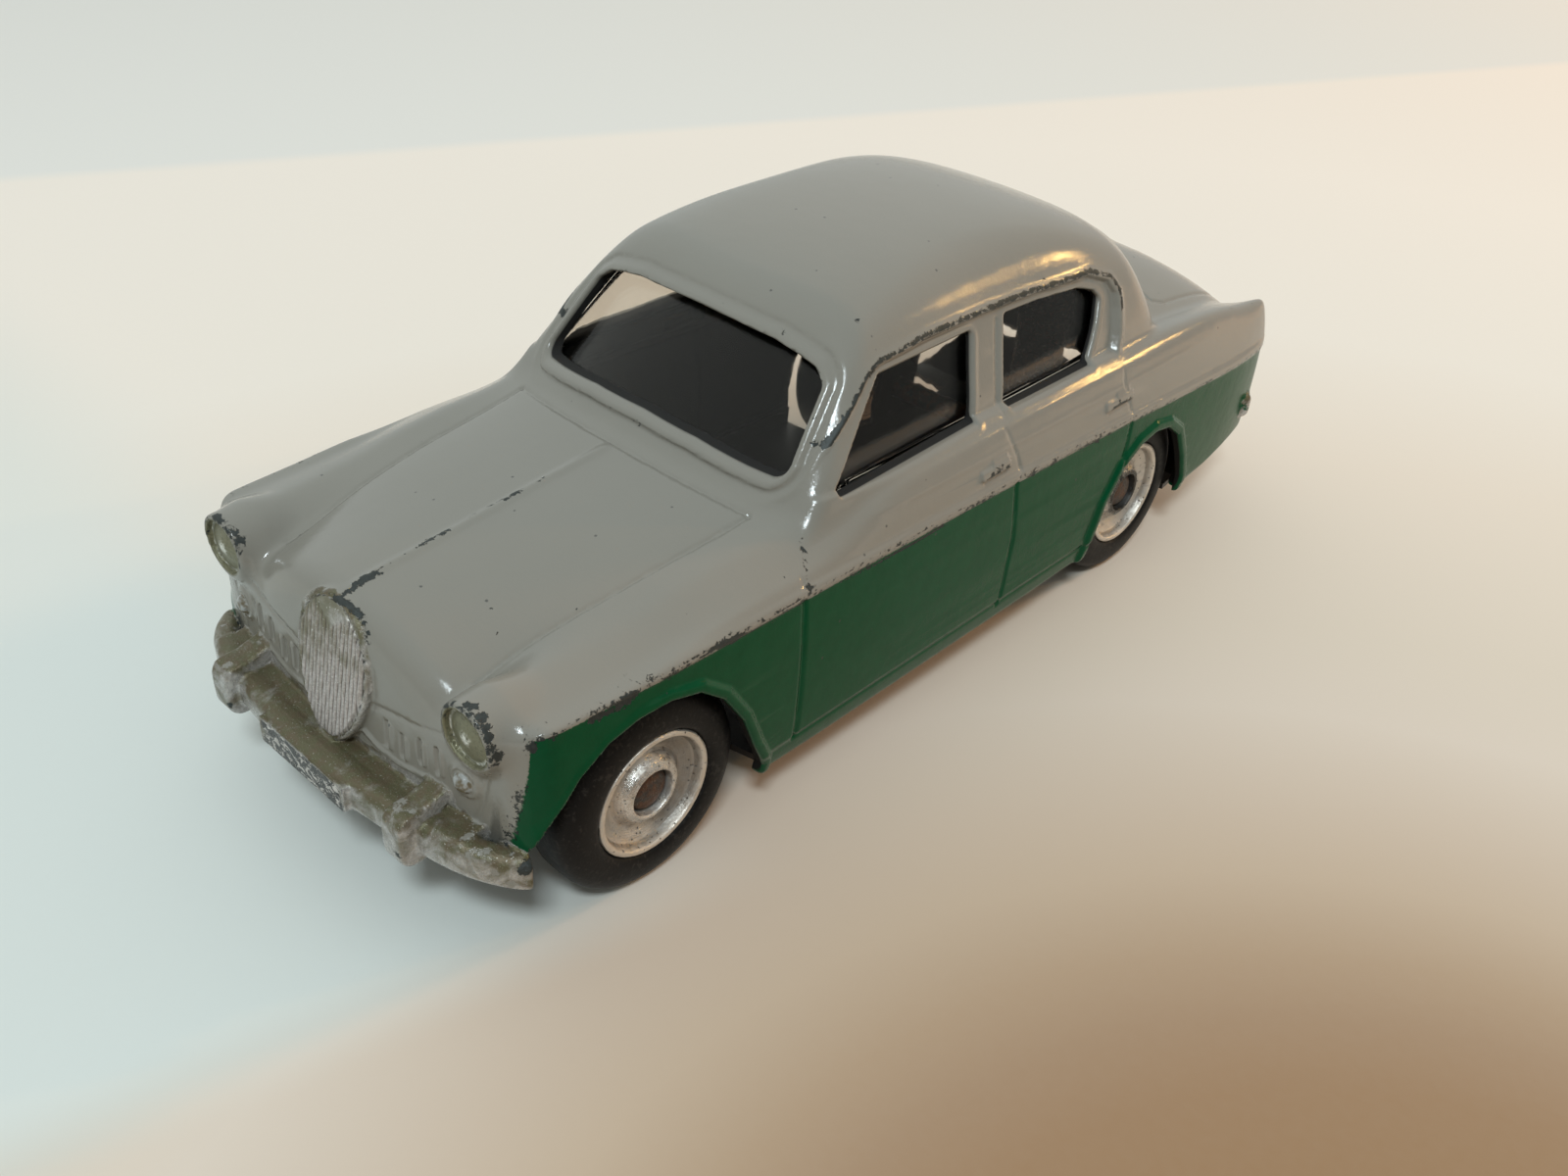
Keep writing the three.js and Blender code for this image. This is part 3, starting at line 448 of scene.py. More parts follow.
def grille_plane(z):
    return -42.32 - 0.185 * (19.3 - z)


def grille_oval(ax, z):
    """Signed distance, about, to the egg-shaped outline of the grille."""
    a, b = 3.72 + 0.115 * (z - 14.4), 4.98
    F = np.sqrt((ax / a) ** 2 + ((z - 14.42) / b) ** 2) + 1e-6
    g = np.sqrt((ax / a**2) ** 2 + ((z - 14.42) / b**2) ** 2) / F + 1e-6
    return np.clip((F - 1) / g, -3.0, 60)


def bumper_front(ax, y, z):
    n = bump_f(ax, y)
    b = rbox(n, z - 8.45 + 0.02 * np.maximum(ax - 11, 0) ** 2, 0.86, 1.22, 0.72)
    # number-plate block in the middle
    pl = rbox(ax, z - 8.45, 4.7, 1.05, 0.3)
    b = smin(b, np.maximum(pl, np.abs(y + 45.2) - 0.86), 0.25)
    shelf = smax(np.abs(z - 8.95 - 0.06 * (y + 44.5)) - 0.62, np.maximum(ax - 13.2, np.maximum(y + 41.5, -44.9 + 0.006 * ax**2 - y)), 0.2)
    return smin(b, shelf, 0.35)


def overrider_front(ax, y, z):
    xc = ax - 9.5
    v = np.maximum(np.abs(xc) - 0.72, 0)
    yz = rbox(y + 44.95 - 0.03 * (z - 8.8) ** 2, z - 8.55, 0.9, 1.75, 0.75)
    up = np.where(yz > 0, np.hypot(v, yz), np.maximum(np.abs(xc) - 0.72, yz)) - 0.2
    # the strap from its top back to the body
    t = np.clip((y + 45.4) / 3.4, 0, 1)
    st = rbox(xc, z - (9.6 + 1.0 * t), 0.95, 0.6, 0.3)
    st = np.maximum(st, np.abs(y + 43.6) - 1.95)
    return smin(up, st, 0.3)


def bumper_rear(ax, y, z):
    n = bump_r(ax, y)
    b = rbox(n, z - 9.6, 0.8, 1.2, 0.7)
    xc = ax - 9.5
    o = rbox(y - 45.15, z - 9.9, 0.72, 2.0, 0.6)
    o = np.maximum(o, np.abs(xc) - 1.1)
    return smin(b, o, 0.5)


def trim_body(ax, y, z):
    g = grille_oval(ax, z)
    face = (grille_plane(z) - y) * 0.983
    gr = smax(g, face, 0.45)
    gr = np.maximum(gr, y + 40.5)
    # shallow field for the bars inside the rim
    gr = smax(gr, -np.maximum(g + 0.34, -0.16 - face), 0.08)
    d = smin(gr, bumper_front(ax, y, z), 0.2)
    d = smin(d, overrider_front(ax, y, z), 0.3)
    return smin(d, bumper_rear(ax, y, z), 0.3)


def cabin_body(ax, y, z, detail=True):
    xs = K_["xs"](z) + 0.12 * np.clip((y - 4.0) / -20.0, 0, 1.2) ** 2 - 0.5 * np.clip((y - 8.0) / 18.0, 0, 1.6) ** 2.4
    s = (ax - xs - (cs(y, z) if detail else 0)) * 0.93
    yf, ya, xa = K_["yf"](z), K_["ya"](z), K_["xa"](z)
    wy = yf + (ya - yf) * (ax / xa) ** 2.2
    w = (wy - y - (ws_off(ax, z) if detail else 0)) * 0.74
    yr, yb, xb = K_["yr"](z), K_["yb"](z), K_["xb"](z)
    ry = yr - (yr - yb) * (ax / xb) ** 2.4
    r = (y - ry - (rw_off(ax, z) if detail else 0)) * 0.8
    t = z - (R0(y) - 0.0044 * ax**2 - 6.0e-7 * ax**6)
    d = smax(s, t, 1.1 + 1.9 * np.exp(-(((y - 5.0) / 9.0) ** 2)))
    d = smax(d, w, 1.0)
    d = smax(d, r, 1.8)
    return np.maximum(d, 17.2 - z)


def body_sdf(x, y, z):
    ax = np.abs(x)
    low = lower_body(ax, y, z)
    cab = cabin_body(ax, y, z)
    d = smin(low, cab, 0.7)
    d = smin(d, trim_body(ax, y, z), 0.22)
    # hollow
    cav = smin(lower_body(ax, y, z, False), cabin_body(ax, y, z, False), 0.7) + 1.1
    d = np.maximum(d, -cav)
    # glazed openings
    d = smax(d, -np.maximum(ws_d(ax, z), y + 6.0), 0.25)
    d = smax(d, -np.maximum(rw_d(ax, z), 14.0 - y), 0.25)
    d = smax(d, -np.maximum(side_win(y, z), 7.0 - ax), 0.25)
    # arches and wells
    d = smax(d, -np.maximum(np.minimum(arch_f(y, z), arch_r(y, z)), 9.0 - ax), 0.3)
    for wy in (FA_Y, RA_Y):
        rad = np.sqrt((y - wy) ** 2 + (z - AX_Z) ** 2) - WELL_R
        d = np.maximum(d, -np.maximum(np.maximum(rad, ax - 16.85), 10.9 - ax))
    return d.astype(np.float32)


# ------------------------------------------------------------------ surface nets on a half body
def surface_nets(h):
    X0, X1 = -h / 2, 18.6
    Y0, Y1 = -47.2, 47.2
    Z0, Z1 = 2.4, 33.8
    nx, ny, nz = int((X1 - X0) / h) + 1, int((Y1 - Y0) / h) + 1, int((Z1 - Z0) / h) + 1
    xs = X0 + np.arange(nx) * h
    ys = Y0 + np.arange(ny) * h
    zs = Z0 + np.arange(nz) * h
    vol = np.empty((nx, ny, nz), np.float32)
    for i in range(nx):
        YY, ZZ = np.meshgrid(ys, zs, indexing="ij")
        vol[i] = body_sdf(np.full_like(YY, xs[i]), YY, ZZ)
    neg = vol < 0
    cell = np.zeros((nx - 1, ny - 1, nz - 1), np.uint8)
    for dx in (0, 1):
        for dy in (0, 1):
            for dz in (0, 1):
                cell += neg[dx : nx - 1 + dx, dy : ny - 1 + dy, dz : nz - 1 + dz]
    act = (cell > 0) & (cell < 8)
    idx = -np.ones(act.shape, np.int32)
    ci = np.argwhere(act)
    idx[act] = np.arange(len(ci))
    acc = np.zeros((len(ci), 3))
    cnt = np.zeros(len(ci))
    corners = [(a, b, c) for a in (0, 1) for b in (0, 1) for c in (0, 1)]
    val = {c: vol[ci[:, 0] + c[0], ci[:, 1] + c[1], ci[:, 2] + c[2]] for c in corners}
    for c in corners:
        for ax_ in range(3):
            if c[ax_]:
                continue
            e = list(c)
            e[ax_] = 1
            va, vb = val[c], val[tuple(e)]
            m = (va < 0) != (vb < 0)
            t = np.where(m, va / np.where(m, va - vb, 1), 0)
            p = np.tile(np.array(c, float), (len(ci), 1))
            p[:, ax_] += t
            acc += p * m[:, None]
            cnt += m
    verts = ci + acc / cnt[:, None]
    verts = verts * h + np.array([X0, Y0, Z0])
    verts[ci[:, 0] == 0, 0] = 0.0
    quads = []
    for ax_ in range(3):
        sl_a = [slice(None)] * 3
        sl_b = [slice(None)] * 3
        sl_a[ax_] = slice(0, -1)
        sl_b[ax_] = slice(1, None)
        na, nb = neg[tuple(sl_a)], neg[tuple(sl_b)]
        cr = np.argwhere(na != nb)
        o1, o2 = (ax_ + 1) % 3, (ax_ + 2) % 3
        keep = (cr[:, o1] >= 1) & (cr[:, o2] >= 1) & (cr[:, o1] < vol.shape[o1] - 1) & (cr[:, o2] < vol.shape[o2] - 1)
        cr = cr[keep]
        inside_first = na[cr[:, 0], cr[:, 1], cr[:, 2]]

        def cellid(d1, d2):
            q = cr.copy()
            q[:, o1] -= d1
            q[:, o2] -= d2
            return idx[q[:, 0], q[:, 1], q[:, 2]]

        a, b, c, d = cellid(1, 1), cellid(0, 1), cellid(0, 0), cellid(1, 0)
        q = np.stack([a, b, c, d], 1)
        q[~inside_first] = q[~inside_first][:, ::-1]
        quads.append(q)
    quads = np.concatenate(quads)
    quads = quads[(quads >= 0).all(1)]
    return verts, quads


def grad(p, e=0.07):
    g = np.empty_like(p)
    for k in range(3):
        q = p.copy()
        q[:, k] += e
        a = body_sdf(q[:, 0], q[:, 1], q[:, 2])
        q[:, k] -= 2 * e
        b = body_sdf(q[:, 0], q[:, 1], q[:, 2])
        g[:, k] = (a - b) / (2 * e)
    return g


def project(p, n=2, limit=0.12):
    for _ in range(n):
        f = body_sdf(p[:, 0], p[:, 1], p[:, 2])
        g = grad(p)
        gg = (g * g).sum(1)
        step = -(f / np.maximum(gg, 0.25))[:, None] * g
        ln = np.linalg.norm(step, axis=1, keepdims=True)
        step *= np.minimum(1, limit / np.maximum(ln, 1e-9))
        p = p + step
    return p


def mesh_from(name, verts, faces, smooth=True):
    me = bpy.data.meshes.new(name)
    verts = np.asarray(verts, float) * MM
    me.from_pydata(verts.tolist(), [], [list(map(int, f)) for f in faces])
    me.update()
    if smooth:
        me.polygons.foreach_set("use_smooth", [True] * len(me.polygons))
    ob = bpy.data.objects.new(name, me)
    bpy.context.scene.collection.objects.link(ob)
    return ob


def mesh_quads(name, verts, quads):
    me = bpy.data.meshes.new(name)
    nv, nq, k = len(verts), len(quads), quads.shape[1]
    me.vertices.add(nv)
    me.vertices.foreach_set("co", (np.asarray(verts, np.float32) * MM).ravel())
    me.loops.add(nq * k)
    me.loops.foreach_set("vertex_index", quads.astype(np.int32).ravel())
    me.polygons.add(nq)
    me.polygons.foreach_set("loop_start", np.arange(0, nq * k, k, dtype=np.int32))
    me.polygons.foreach_set("use_smooth", np.ones(nq, bool))
    me.update(calc_edges=True)
    me.validate()
    ob = bpy.data.objects.new(name, me)
    bpy.context.scene.collection.objects.link(ob)
    return ob


def attr(ob, name, values):
    a = ob.data.attributes.new(name, "FLOAT", "POINT")
    a.data.foreach_set("value", np.asarray(values, np.float32))


H = 0.2
hv, hq = surface_nets(H)
hv = project(hv, 3)
hv[np.abs(hv[:, 0]) < 1e-6, 0] = 0
onx = np.abs(hv[:, 0]) < 0.5 * 1e-3
# mirror
mid = np.where(onx)[0]
n = len(hv)
mapi = np.arange(n) + n
mapi[mid] = mid
mv = hv.copy()
mv[:, 0] *= -1
allv = np.concatenate([hv, mv])
allq = np.concatenate([hq, mapi[hq][:, ::-1]])
used = np.zeros(len(allv), bool)
used[allq.ravel()] = True
remap = np.cumsum(used) - 1
allv, allq = allv[used], remap[allq]
print("body raw", len(allv), len(allq))
body = mesh_quads("body_skin", allv, allq)
target = 150000
tris = 2 * len(allq)
if tris > target:
    m = body.modifiers.new("dec", "DECIMATE")
    m.ratio = target / tris
    bpy.context.view_layer.objects.active = body
    dg = bpy.context.evaluated_depsgraph_get()
    new = bpy.data.meshes.new_from_object(body.evaluated_get(dg))
    body.modifiers.clear()
    old = body.data
    body.data = new
    bpy.data.meshes.remove(old)
me = body.data
nv = len(me.vertices)
P = np.empty(nv * 3, np.float32)
me.vertices.foreach_get("co", P)
P = P.reshape(-1, 3).astype(float) / MM
P = project(P, 1, 0.05)
me.vertices.foreach_set("co", (P * MM).astype(np.float32).ravel())
G = grad(P, 0.05)
G /= np.maximum(np.linalg.norm(G, axis=1, keepdims=True), 1e-9)
me.polygons.foreach_set("use_smooth", np.ones(len(me.polygons), bool))
me.normals_split_custom_set_from_vertices([tuple(v) for v in G])
print("body final", nv, len(me.polygons))
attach(body, "body")
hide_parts("body_shell")

# ------------------------------------------------------------------ paint fields
# chipped spots on the casting: x, y, z, radius
CHIPS = [
    (16.3, -40.6, 17.1, 0.22), (16.9, -39.5, 17.4, 0.19), (17.1, -36.9, 17.4, 0.28), (17.1, -36.4, 17.4, 0.28),
    (17.1, -34.8, 17.4, 0.32), (17.2, -34.2, 17.5, 0.32), (17.2, -33.7, 17.6, 0.22), (17.3, -31.1, 17.5, 0.19),
    (17.4, -28.6, 17.8, 0.23), (17.3, -27.9, 17.8, 0.23), (17.4, -26.9, 17.7, 0.3), (17.4, -26.3, 17.7, 0.34),
    (17.4, -25.7, 17.6, 0.27), (17.4, -24.9, 17.6, 0.3), (17.4, -21.9, 17.5, 0.24), (17.4, -20.0, 17.5, 0.24),
    (17.3, -16.7, 17.2, 0.14), (17.3, -15.0, 17.1, 0.18), (17.3, -12.8, 17.0, 0.14), (17.3, -11.3, 17.0, 0.18),
    (17.3, -9.2, 16.9, 0.22), (17.3, -7.1, 16.9, 0.26), (17.3, -5.4, 16.8, 0.19), (17.4, -2.8, 17.2, 0.23),
    (17.4, -0.8, 17.1, 0.19), (17.4, 5.6, 16.9, 0.28), (17.4, 8.1, 16.8, 0.24), (17.3, 11.7, 16.5, 0.2),
    (17.3, 14.3, 16.5, 0.29), (17.3, 15.8, 16.3, 0.25), (15.3, -30.7, 18.7, 0.1), (15.1, -27.6, 19.1, 0.08),
    (15.5, -25.3, 19.1, 0.08), (16.7, -23.5, 18.5, 0.1), (16.1, -20.3, 19.0, 0.08), (14.9, -17.6, 20.0, 0.14),
    (15.4, -17.9, 19.6, 0.14), (15.9, -18.1, 19.2, 0.14), (16.1, -18.3, 19.0, 0.14), (16.5, -18.6, 18.7, 0.14),
    (16.8, -18.8, 18.4, 0.14), (17.1, -19.0, 18.0, 0.14), (0.4, -42.0, 19.3, 0.2), (0.3, -41.6, 19.4, 0.2),
    (0.3, -41.3, 19.5, 0.2), (0.2, -40.9, 19.6, 0.2), (0.2, -40.6, 19.7, 0.23), (0.1, -40.2, 19.7, 0.23),
    (0.2, -39.9, 19.8, 0.23), (0.2, -39.6, 19.8, 0.23), (0.2, -39.2, 19.9, 0.23), (0.0, -38.1, 20.0, 0.13),
    (0.0, -37.3, 20.1, 0.13), (-0.1, -35.9, 20.2, 0.15), (-0.2, -35.3, 20.2, 0.17), (-0.1, -34.5, 20.3, 0.19),
    (-0.1, -33.9, 20.4, 0.14), (-0.2, -32.8, 20.5, 0.14), (-0.3, -32.1, 20.5, 0.14), (-0.2, -31.6, 20.6, 0.12),
    (-0.3, -30.4, 20.7, 0.12), (-0.1, -29.4, 20.9, 0.14), (-0.1, -28.3, 21.0, 0.16), (-0.0, -27.4, 21.1, 0.16),
    (-0.1, -26.2, 21.2, 0.14), (-0.0, -24.6, 21.3, 0.1), (0.1, -42.2, 19.3, 0.2), (0.5, -42.1, 19.3, 0.2),
    (0.8, -42.0, 19.3, 0.2), (1.1, -42.0, 19.2, 0.23), (1.4, -42.0, 19.1, 0.23), (1.7, -41.9, 19.0, 0.23),
    (2.0, -41.9, 18.9, 0.23), (2.5, -41.9, 18.6, 0.16), (3.0, -42.1, 18.3, 0.16), (3.4, -42.2, 17.9, 0.2),
    (-13.1, -42.5, 18.9, 0.32), (-12.5, -42.5, 18.9, 0.21), (-11.4, -42.3, 18.4, 0.21), (-10.9, -42.2, 18.0, 0.25),
    (-10.9, -41.9, 18.1, 0.17), (-10.8, -42.2, 17.7, 0.17), (12.0, -42.6, 18.6, 0.15), (12.8, -42.2, 18.9, 0.22),
    (13.2, -42.1, 18.9, 0.28), (13.9, -42.1, 18.7, 0.28), (14.4, -42.2, 18.3, 0.25), (14.8, -42.3, 17.8, 0.28),
    (15.0, -42.3, 17.2, 0.21), (15.2, -42.1, 16.6, 0.22), (15.0, -42.2, 15.9, 0.15), (-4.7, -28.4, 20.6, 0.1),
    (12.2, -8.6, 28.0, 0.25), (12.3, -9.1, 27.8, 0.18), (12.1, 0.6, 29.1, 0.19), (12.1, 1.5, 29.1, 0.15),
    (12.2, 5.2, 28.9, 0.23), (12.2, 6.3, 28.9, 0.19), (12.2, 10.9, 28.9, 0.2), (12.6, 16.3, 28.2, 0.2),
    (12.5, 14.4, 28.4, 0.16), (1.9, 18.5, 31.6, 0.21), (2.1, 18.8, 31.5, 0.16), (3.0, 19.8, 31.2, 0.21),
    (8.2, 20.8, 30.5, 0.25), (8.2, 21.7, 30.2, 0.21), (12.0, 21.7, 28.0, 0.16), (11.9, 20.8, 28.4, 0.12),
    (16.8, 0.8, 18.8, 0.27), (16.9, 1.6, 18.8, 0.27), (16.8, 16.5, 18.6, 0.25), (16.8, 17.5, 18.6, 0.3),
    (1.4, -11.8, 29.8, 0.14), (6.8, -11.4, 29.5, 0.18), (10.3, -8.2, 30.7, 0.14), (-2.4, -18.5, 22.6, 0.11),
    (-0.0, -18.3, 22.7, 0.15), (0.7, -18.4, 22.6, 0.14), (11.7, -13.3, 25.9, 0.14), (12.7, -12.9, 25.7, 0.14),
    (-9.8, -45.8, 10.2, 0.18), (-9.3, -46.0, 8.7, 0.18), (-8.7, -46.0, 7.7, 0.21), (9.2, -45.7, 10.4, 0.19),
    (9.5, -46.0, 8.1, 0.23), (10.2, -46.0, 8.0, 0.19), (16.6, -41.8, 8.6, 0.29), (16.7, -41.4, 8.8, 0.29),
    (16.7, -41.1, 8.9, 0.23), (8.5, -36.8, 18.5, 0.1), (6.9, -36.1, 19.2, 0.08), (2.4, -37.7, 19.8, 0.08),
    (10.2, -32.1, 19.1, 0.08),
]


def chip_field(P):
    """Distance to the nearest chipped spot, less its radius. The hidden side gets its own, shifted set."""
    spots = list(CHIPS)
    for i, (x, y, z, r) in enumerate(CHIPS):
        if x > 15 and z < 18.4 and i % 3 != 1:
            y2 = y + (1.7 if i % 2 else -2.3)
            spots.append((-x, y2, z + float(C_["zs"](y2) - C_["zs"](y)), r * (0.7 + 0.5 * ((i * 37) % 10) / 10)))
        elif x > 9 and z > 27 and i % 2:
            spots.append((-x, y + 1.3, z, r))
    # tail, far edges and the rear bumper
    for i in range(14):
        a = (i * 0.6180339) % 1.0
        spots.append(((-1) ** i * (4 + 11 * a), 45.7 - 0.9 * a, 9.2 + 1.6 * ((i * 0.377) % 1), 0.14 + 0.2 * ((i * 0.73) % 1)))
    for sx in (-1, 1):
        for i in range(6):
            spots.append((sx * (14.6 + 0.25 * (i % 3)), 34.0 + 2.1 * i, float(C_["zc"](34.0 + 2.1 * i)), 0.12 + 0.05 * (i % 3)))
    spots = [(x, y, z, r * (1.35 if abs(x) > 15 and z < 18.4 else 1.0)) for x, y, z, r in spots]
    best = np.full(len(P), 5.0)
    for x, y, z, r in spots:
        d = np.sqrt((P[:, 0] - x) ** 2 + (P[:, 1] - y) ** 2 + (P[:, 2] - z) ** 2) - r
        best = np.minimum(best, d)
    return best


AX, AY, AZ = np.abs(P[:, 0]), P[:, 1], P[:, 2]
zs_v = C_["zs"](AY)
front_edge = -40.75 - 0.115 * np.clip(16.5 - AZ, 0, 7)
green = np.maximum(AZ - (zs_v - 0.3), front_edge - AY)
green = np.maximum(green, np.maximum(13.6 - AX, AY - (43.9 + 0.05 * (AZ - 8))))
attr(body, "green_sd", green)
outer = np.minimum(np.minimum(lower_body(AX, AY, AZ), cabin_body(AX, AY, AZ)), trim_body(AX, AY, AZ))
attr(body, "inner_sd", outer)
trim = np.minimum(np.minimum(bumper_front(AX, AY, AZ), overrider_front(AX, AY, AZ)), bumper_rear(AX, AY, AZ))
gfront = np.maximum(grille_oval(AX, AZ) + 0.05, AY - grille_plane(AZ) - 0.35)
shelf_sd = np.maximum(np.maximum(AZ - 10.0 - 0.03 * AX, AY + 42.5), AX - 13.0)
attr(body, "trim_sd", np.minimum(np.minimum(np.minimum(trim, gfront), shelf_sd), 3))
lens = np.where(AY < -41.2, np.sqrt((AX - 12.84) ** 2 + (AZ - 16.62) ** 2) - 2.02, 3.0)
side_l = np.where(AY < -41.2, np.sqrt((AX - 11.85) ** 2 + (AZ - 12.5) ** 2) - 0.72, 3.0)
attr(body, "lens_sd", np.minimum(lens, 3))
attr(body, "lens_r", np.where(AY < -41.2, np.sqrt((AX - 12.84) ** 2 + (AZ - 16.62) ** 2), 5.0))
tail_l = np.where(AY > 43.6, np.sqrt((AX - 13.7) ** 2 + (AZ - 13.2) ** 2) - 0.98, 3.0)
attr(body, "tail_sd", np.minimum(tail_l, 3))
attr(body, "side_sd", np.minimum(side_l, 3))
plate_sd = np.where(AY < -45.55, rbox(AX, AZ - 8.4, 4.6, 1.0, 0.2), 3.0)
attr(body, "plate_sd", np.minimum(plate_sd, 3))
attr(body, "chip_sd", np.minimum(chip_field(P), 5))
# convex edges (+) and recesses (-) from the field a little inside and outside of the skin
E1 = 0.3
Pi, Po = P - G * E1, P + G * E1
fi = -body_sdf(Pi[:, 0], Pi[:, 1], Pi[:, 2]) / E1
fo = body_sdf(Po[:, 0], Po[:, 1], Po[:, 2]) / E1
attr(body, "edge", np.clip(1 - fi, 0, 1))
attr(body, "recess", np.clip(1 - fo, 0, 1))
# how likely the paint is to be rubbed through: along the moulding, the bonnet ridge, the drip rail and handles
rubz = np.maximum(
    1.15 * np.exp(-(((AZ - zs_v - 0.12) / 0.3) ** 2)) * (AX > 14.5) * (0.92 - 0.3 * sstep(AY, -30, -36)) * (1 - 0.3 * sstep(AY, 20, 30)),
    0.8 * np.exp(-((AX / 0.3) ** 2)) * (AY < -21) * (AZ > 18.2) * np.exp(-((AY + 43) / 12)),
)
rl_v = seg_dist(AY, AZ, RAIL)
rubz = np.maximum(rubz, 1.35 * np.exp(-((rl_v / 0.36) ** 2)) * (AX > 9.0) * (AZ > 24.5))
for hy, hz in ((1.05, 18.6), (17.5, 18.4)):
    rubz = np.maximum(rubz, 1.2 * (1 - sstep(np.hypot(np.maximum(np.abs(AY - hy) - 1.3, 0), AZ - hz), 0.15, 0.55)) * (AX > 15))
hood = np.abs(np.sqrt((AX - 12.84) ** 2 + (AZ - 16.62) ** 2) - 2.15)
rubz = np.maximum(rubz, 0.75 * np.exp(-((hood / 0.3) ** 2)) * (AY < -41.7) * (AZ > 15.5))
rubz = np.maximum(rubz, 0.7 * np.exp(-(np.maximum(np.abs(grille_oval(AX, AZ)) - 0.1, 0) / 0.3) ** 2) * (AY < -41.2) * (AZ > 16.0))
attr(body, "rub", rubz)

# ------------------------------------------------------------------ grille bars
n_c, n_r = ((270, 110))
zg = np.linspace(9.62, 19.22, n_r)
rows = []
for z in zg:
    a_ = 3.72 + 0.115 * (z - 14.4)
    hw = max((a_ - 0.33) * math.sqrt(max(1 - ((z - 14.42) / 4.7) ** 2, 0.0)), 0.02)
    xg = np.linspace(-hw, hw, n_c)
    inn = sstep(hw - np.abs(xg), 0.0, 0.3) * sstep(z, 9.65, 10.1) * (1 - sstep(z, 18.7, 19.2))
    badge = sstep(z - 17.3 - 0.75 * np.abs(xg + 0.1), -0.12, 0.12)
    bar = np.sqrt(np.abs(np.sin(math.pi * (xg / 0.39 + 0.5)))) * (0.23 + 0.02 * np.sin(7 * xg + 3 * z))
    hgt = 0.05 + inn * (bar * (1 - badge) + 0.2 * badge)
    rows.append(np.stack([xg, grille_plane(z) + 0.2 - hgt, np.full(n_c, z)], 1))
gv = np.concatenate(rows)
gq = np.array([[i * n_c + j, i * n_c + j + 1, (i + 1) * n_c + j + 1, (i + 1) * n_c + j]
               for i in range(n_r - 1) for j in range(n_c - 1)])
grille = mesh_quads("grille_bars", gv, gq)
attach(grille, "body")

# ------------------------------------------------------------------ clear moulding inside the cabin


def nets(fn, lo, hi, h):
    xs, ys, zs = [np.arange(a, b, h) for a, b in zip(lo, hi)]
    X, Y, Z = np.meshgrid(xs, ys, zs, indexing="ij")
    vol = fn(X.ravel(), Y.ravel(), Z.ravel()).reshape(X.shape).astype(np.float32)
    neg = vol < 0
    nx, ny, nz = vol.shape
    cell = np.zeros((nx - 1, ny - 1, nz - 1), np.uint8)
    corners = [(a, b, c) for a in (0, 1) for b in (0, 1) for c in (0, 1)]
    for dx, dy, dz in corners:
        cell += neg[dx : nx - 1 + dx, dy : ny - 1 + dy, dz : nz - 1 + dz]
    act = (cell > 0) & (cell < 8)
    idx = -np.ones(act.shape, np.int32)
    ci = np.argwhere(act)
    idx[act] = np.arange(len(ci))
    acc, cnt = np.zeros((len(ci), 3)), np.zeros(len(ci))
    val = {c: vol[ci[:, 0] + c[0], ci[:, 1] + c[1], ci[:, 2] + c[2]] for c in corners}
    for c in corners:
        for k in range(3):
            if c[k]:
                continue
            e = list(c)
            e[k] = 1
            va, vb = val[c], val[tuple(e)]
            m = (va < 0) != (vb < 0)
            t = np.where(m, va / np.where(m, va - vb, 1), 0)
            q = np.tile(np.array(c, float), (len(ci), 1))
            q[:, k] += t
            acc += q * m[:, None]
            cnt += m
    verts = (ci + acc / cnt[:, None]) * h + np.array([xs[0], ys[0], zs[0]])
    out = []
    for k in range(3):
        sa, sb = [slice(None)] * 3, [slice(None)] * 3
        sa[k], sb[k] = slice(0, -1), slice(1, None)
        na, nb = neg[tuple(sa)], neg[tuple(sb)]
        cr = np.argwhere(na != nb)
        o1, o2 = (k + 1) % 3, (k + 2) % 3
        cr = cr[(cr[:, o1] >= 1) & (cr[:, o2] >= 1) & (cr[:, o1] < vol.shape[o1] - 1) & (cr[:, o2] < vol.shape[o2] - 1)]
        first = na[cr[:, 0], cr[:, 1], cr[:, 2]]

        def cid(d1, d2):
            q = cr.copy()
            q[:, o1] -= d1
            q[:, o2] -= d2
            return idx[q[:, 0], q[:, 1], q[:, 2]]

        q = np.stack([cid(1, 1), cid(0, 1), cid(0, 0), cid(1, 0)], 1)
        q[~first] = q[~first][:, ::-1]
        out.append(q)
    out = np.concatenate(out)
    return verts, out[(out >= 0).all(1)]


def glass_sdf(x, y, z):
    return np.maximum(cabin_body(np.abs(x), y, z, False) + 1.22, 20.9 - z)


gl_v, gl_q = nets(glass_sdf, (-15.0, -22.0, 20.0), (15.0, 29.0, 32.4), 0.42)
for it in range(5):
    e = 0.04
    f0 = glass_sdf(*gl_v.T)
    gg = np.stack([(glass_sdf(*(gl_v + e * np.eye(3)[k]).T) - glass_sdf(*(gl_v - e * np.eye(3)[k]).T)) / (2 * e) for k in range(3)], 1)
    if it < 4:
        st = -(f0 / np.maximum((gg**2).sum(1), 0.3))[:, None] * gg
        ln = np.linalg.norm(st, axis=1, keepdims=True)
        gl_v = gl_v + st * np.minimum(1, 0.3 / np.maximum(ln, 1e-9))
wall = gl_v[gl_q][:, :, 2].min(1) > 21.35
gl_q = gl_q[wall]
used = np.unique(gl_q)
remap = -np.ones(len(gl_v), int)
remap[used] = np.arange(len(used))
gl_v, gl_q, gn_ = gl_v[used], remap[gl_q], (gg / np.linalg.norm(gg, axis=1, keepdims=True))[used]
n_o = len(gl_v)
ed = {}
for q in gl_q:
    for k in range(4):
        ed[(q[k], q[(k + 1) % 4])] = 1
rim = np.array([(a_, b_) for a_, b_ in ed if (b_, a_) not in ed])
gl_all = np.concatenate([gl_v, gl_v - 0.5 * gn_])
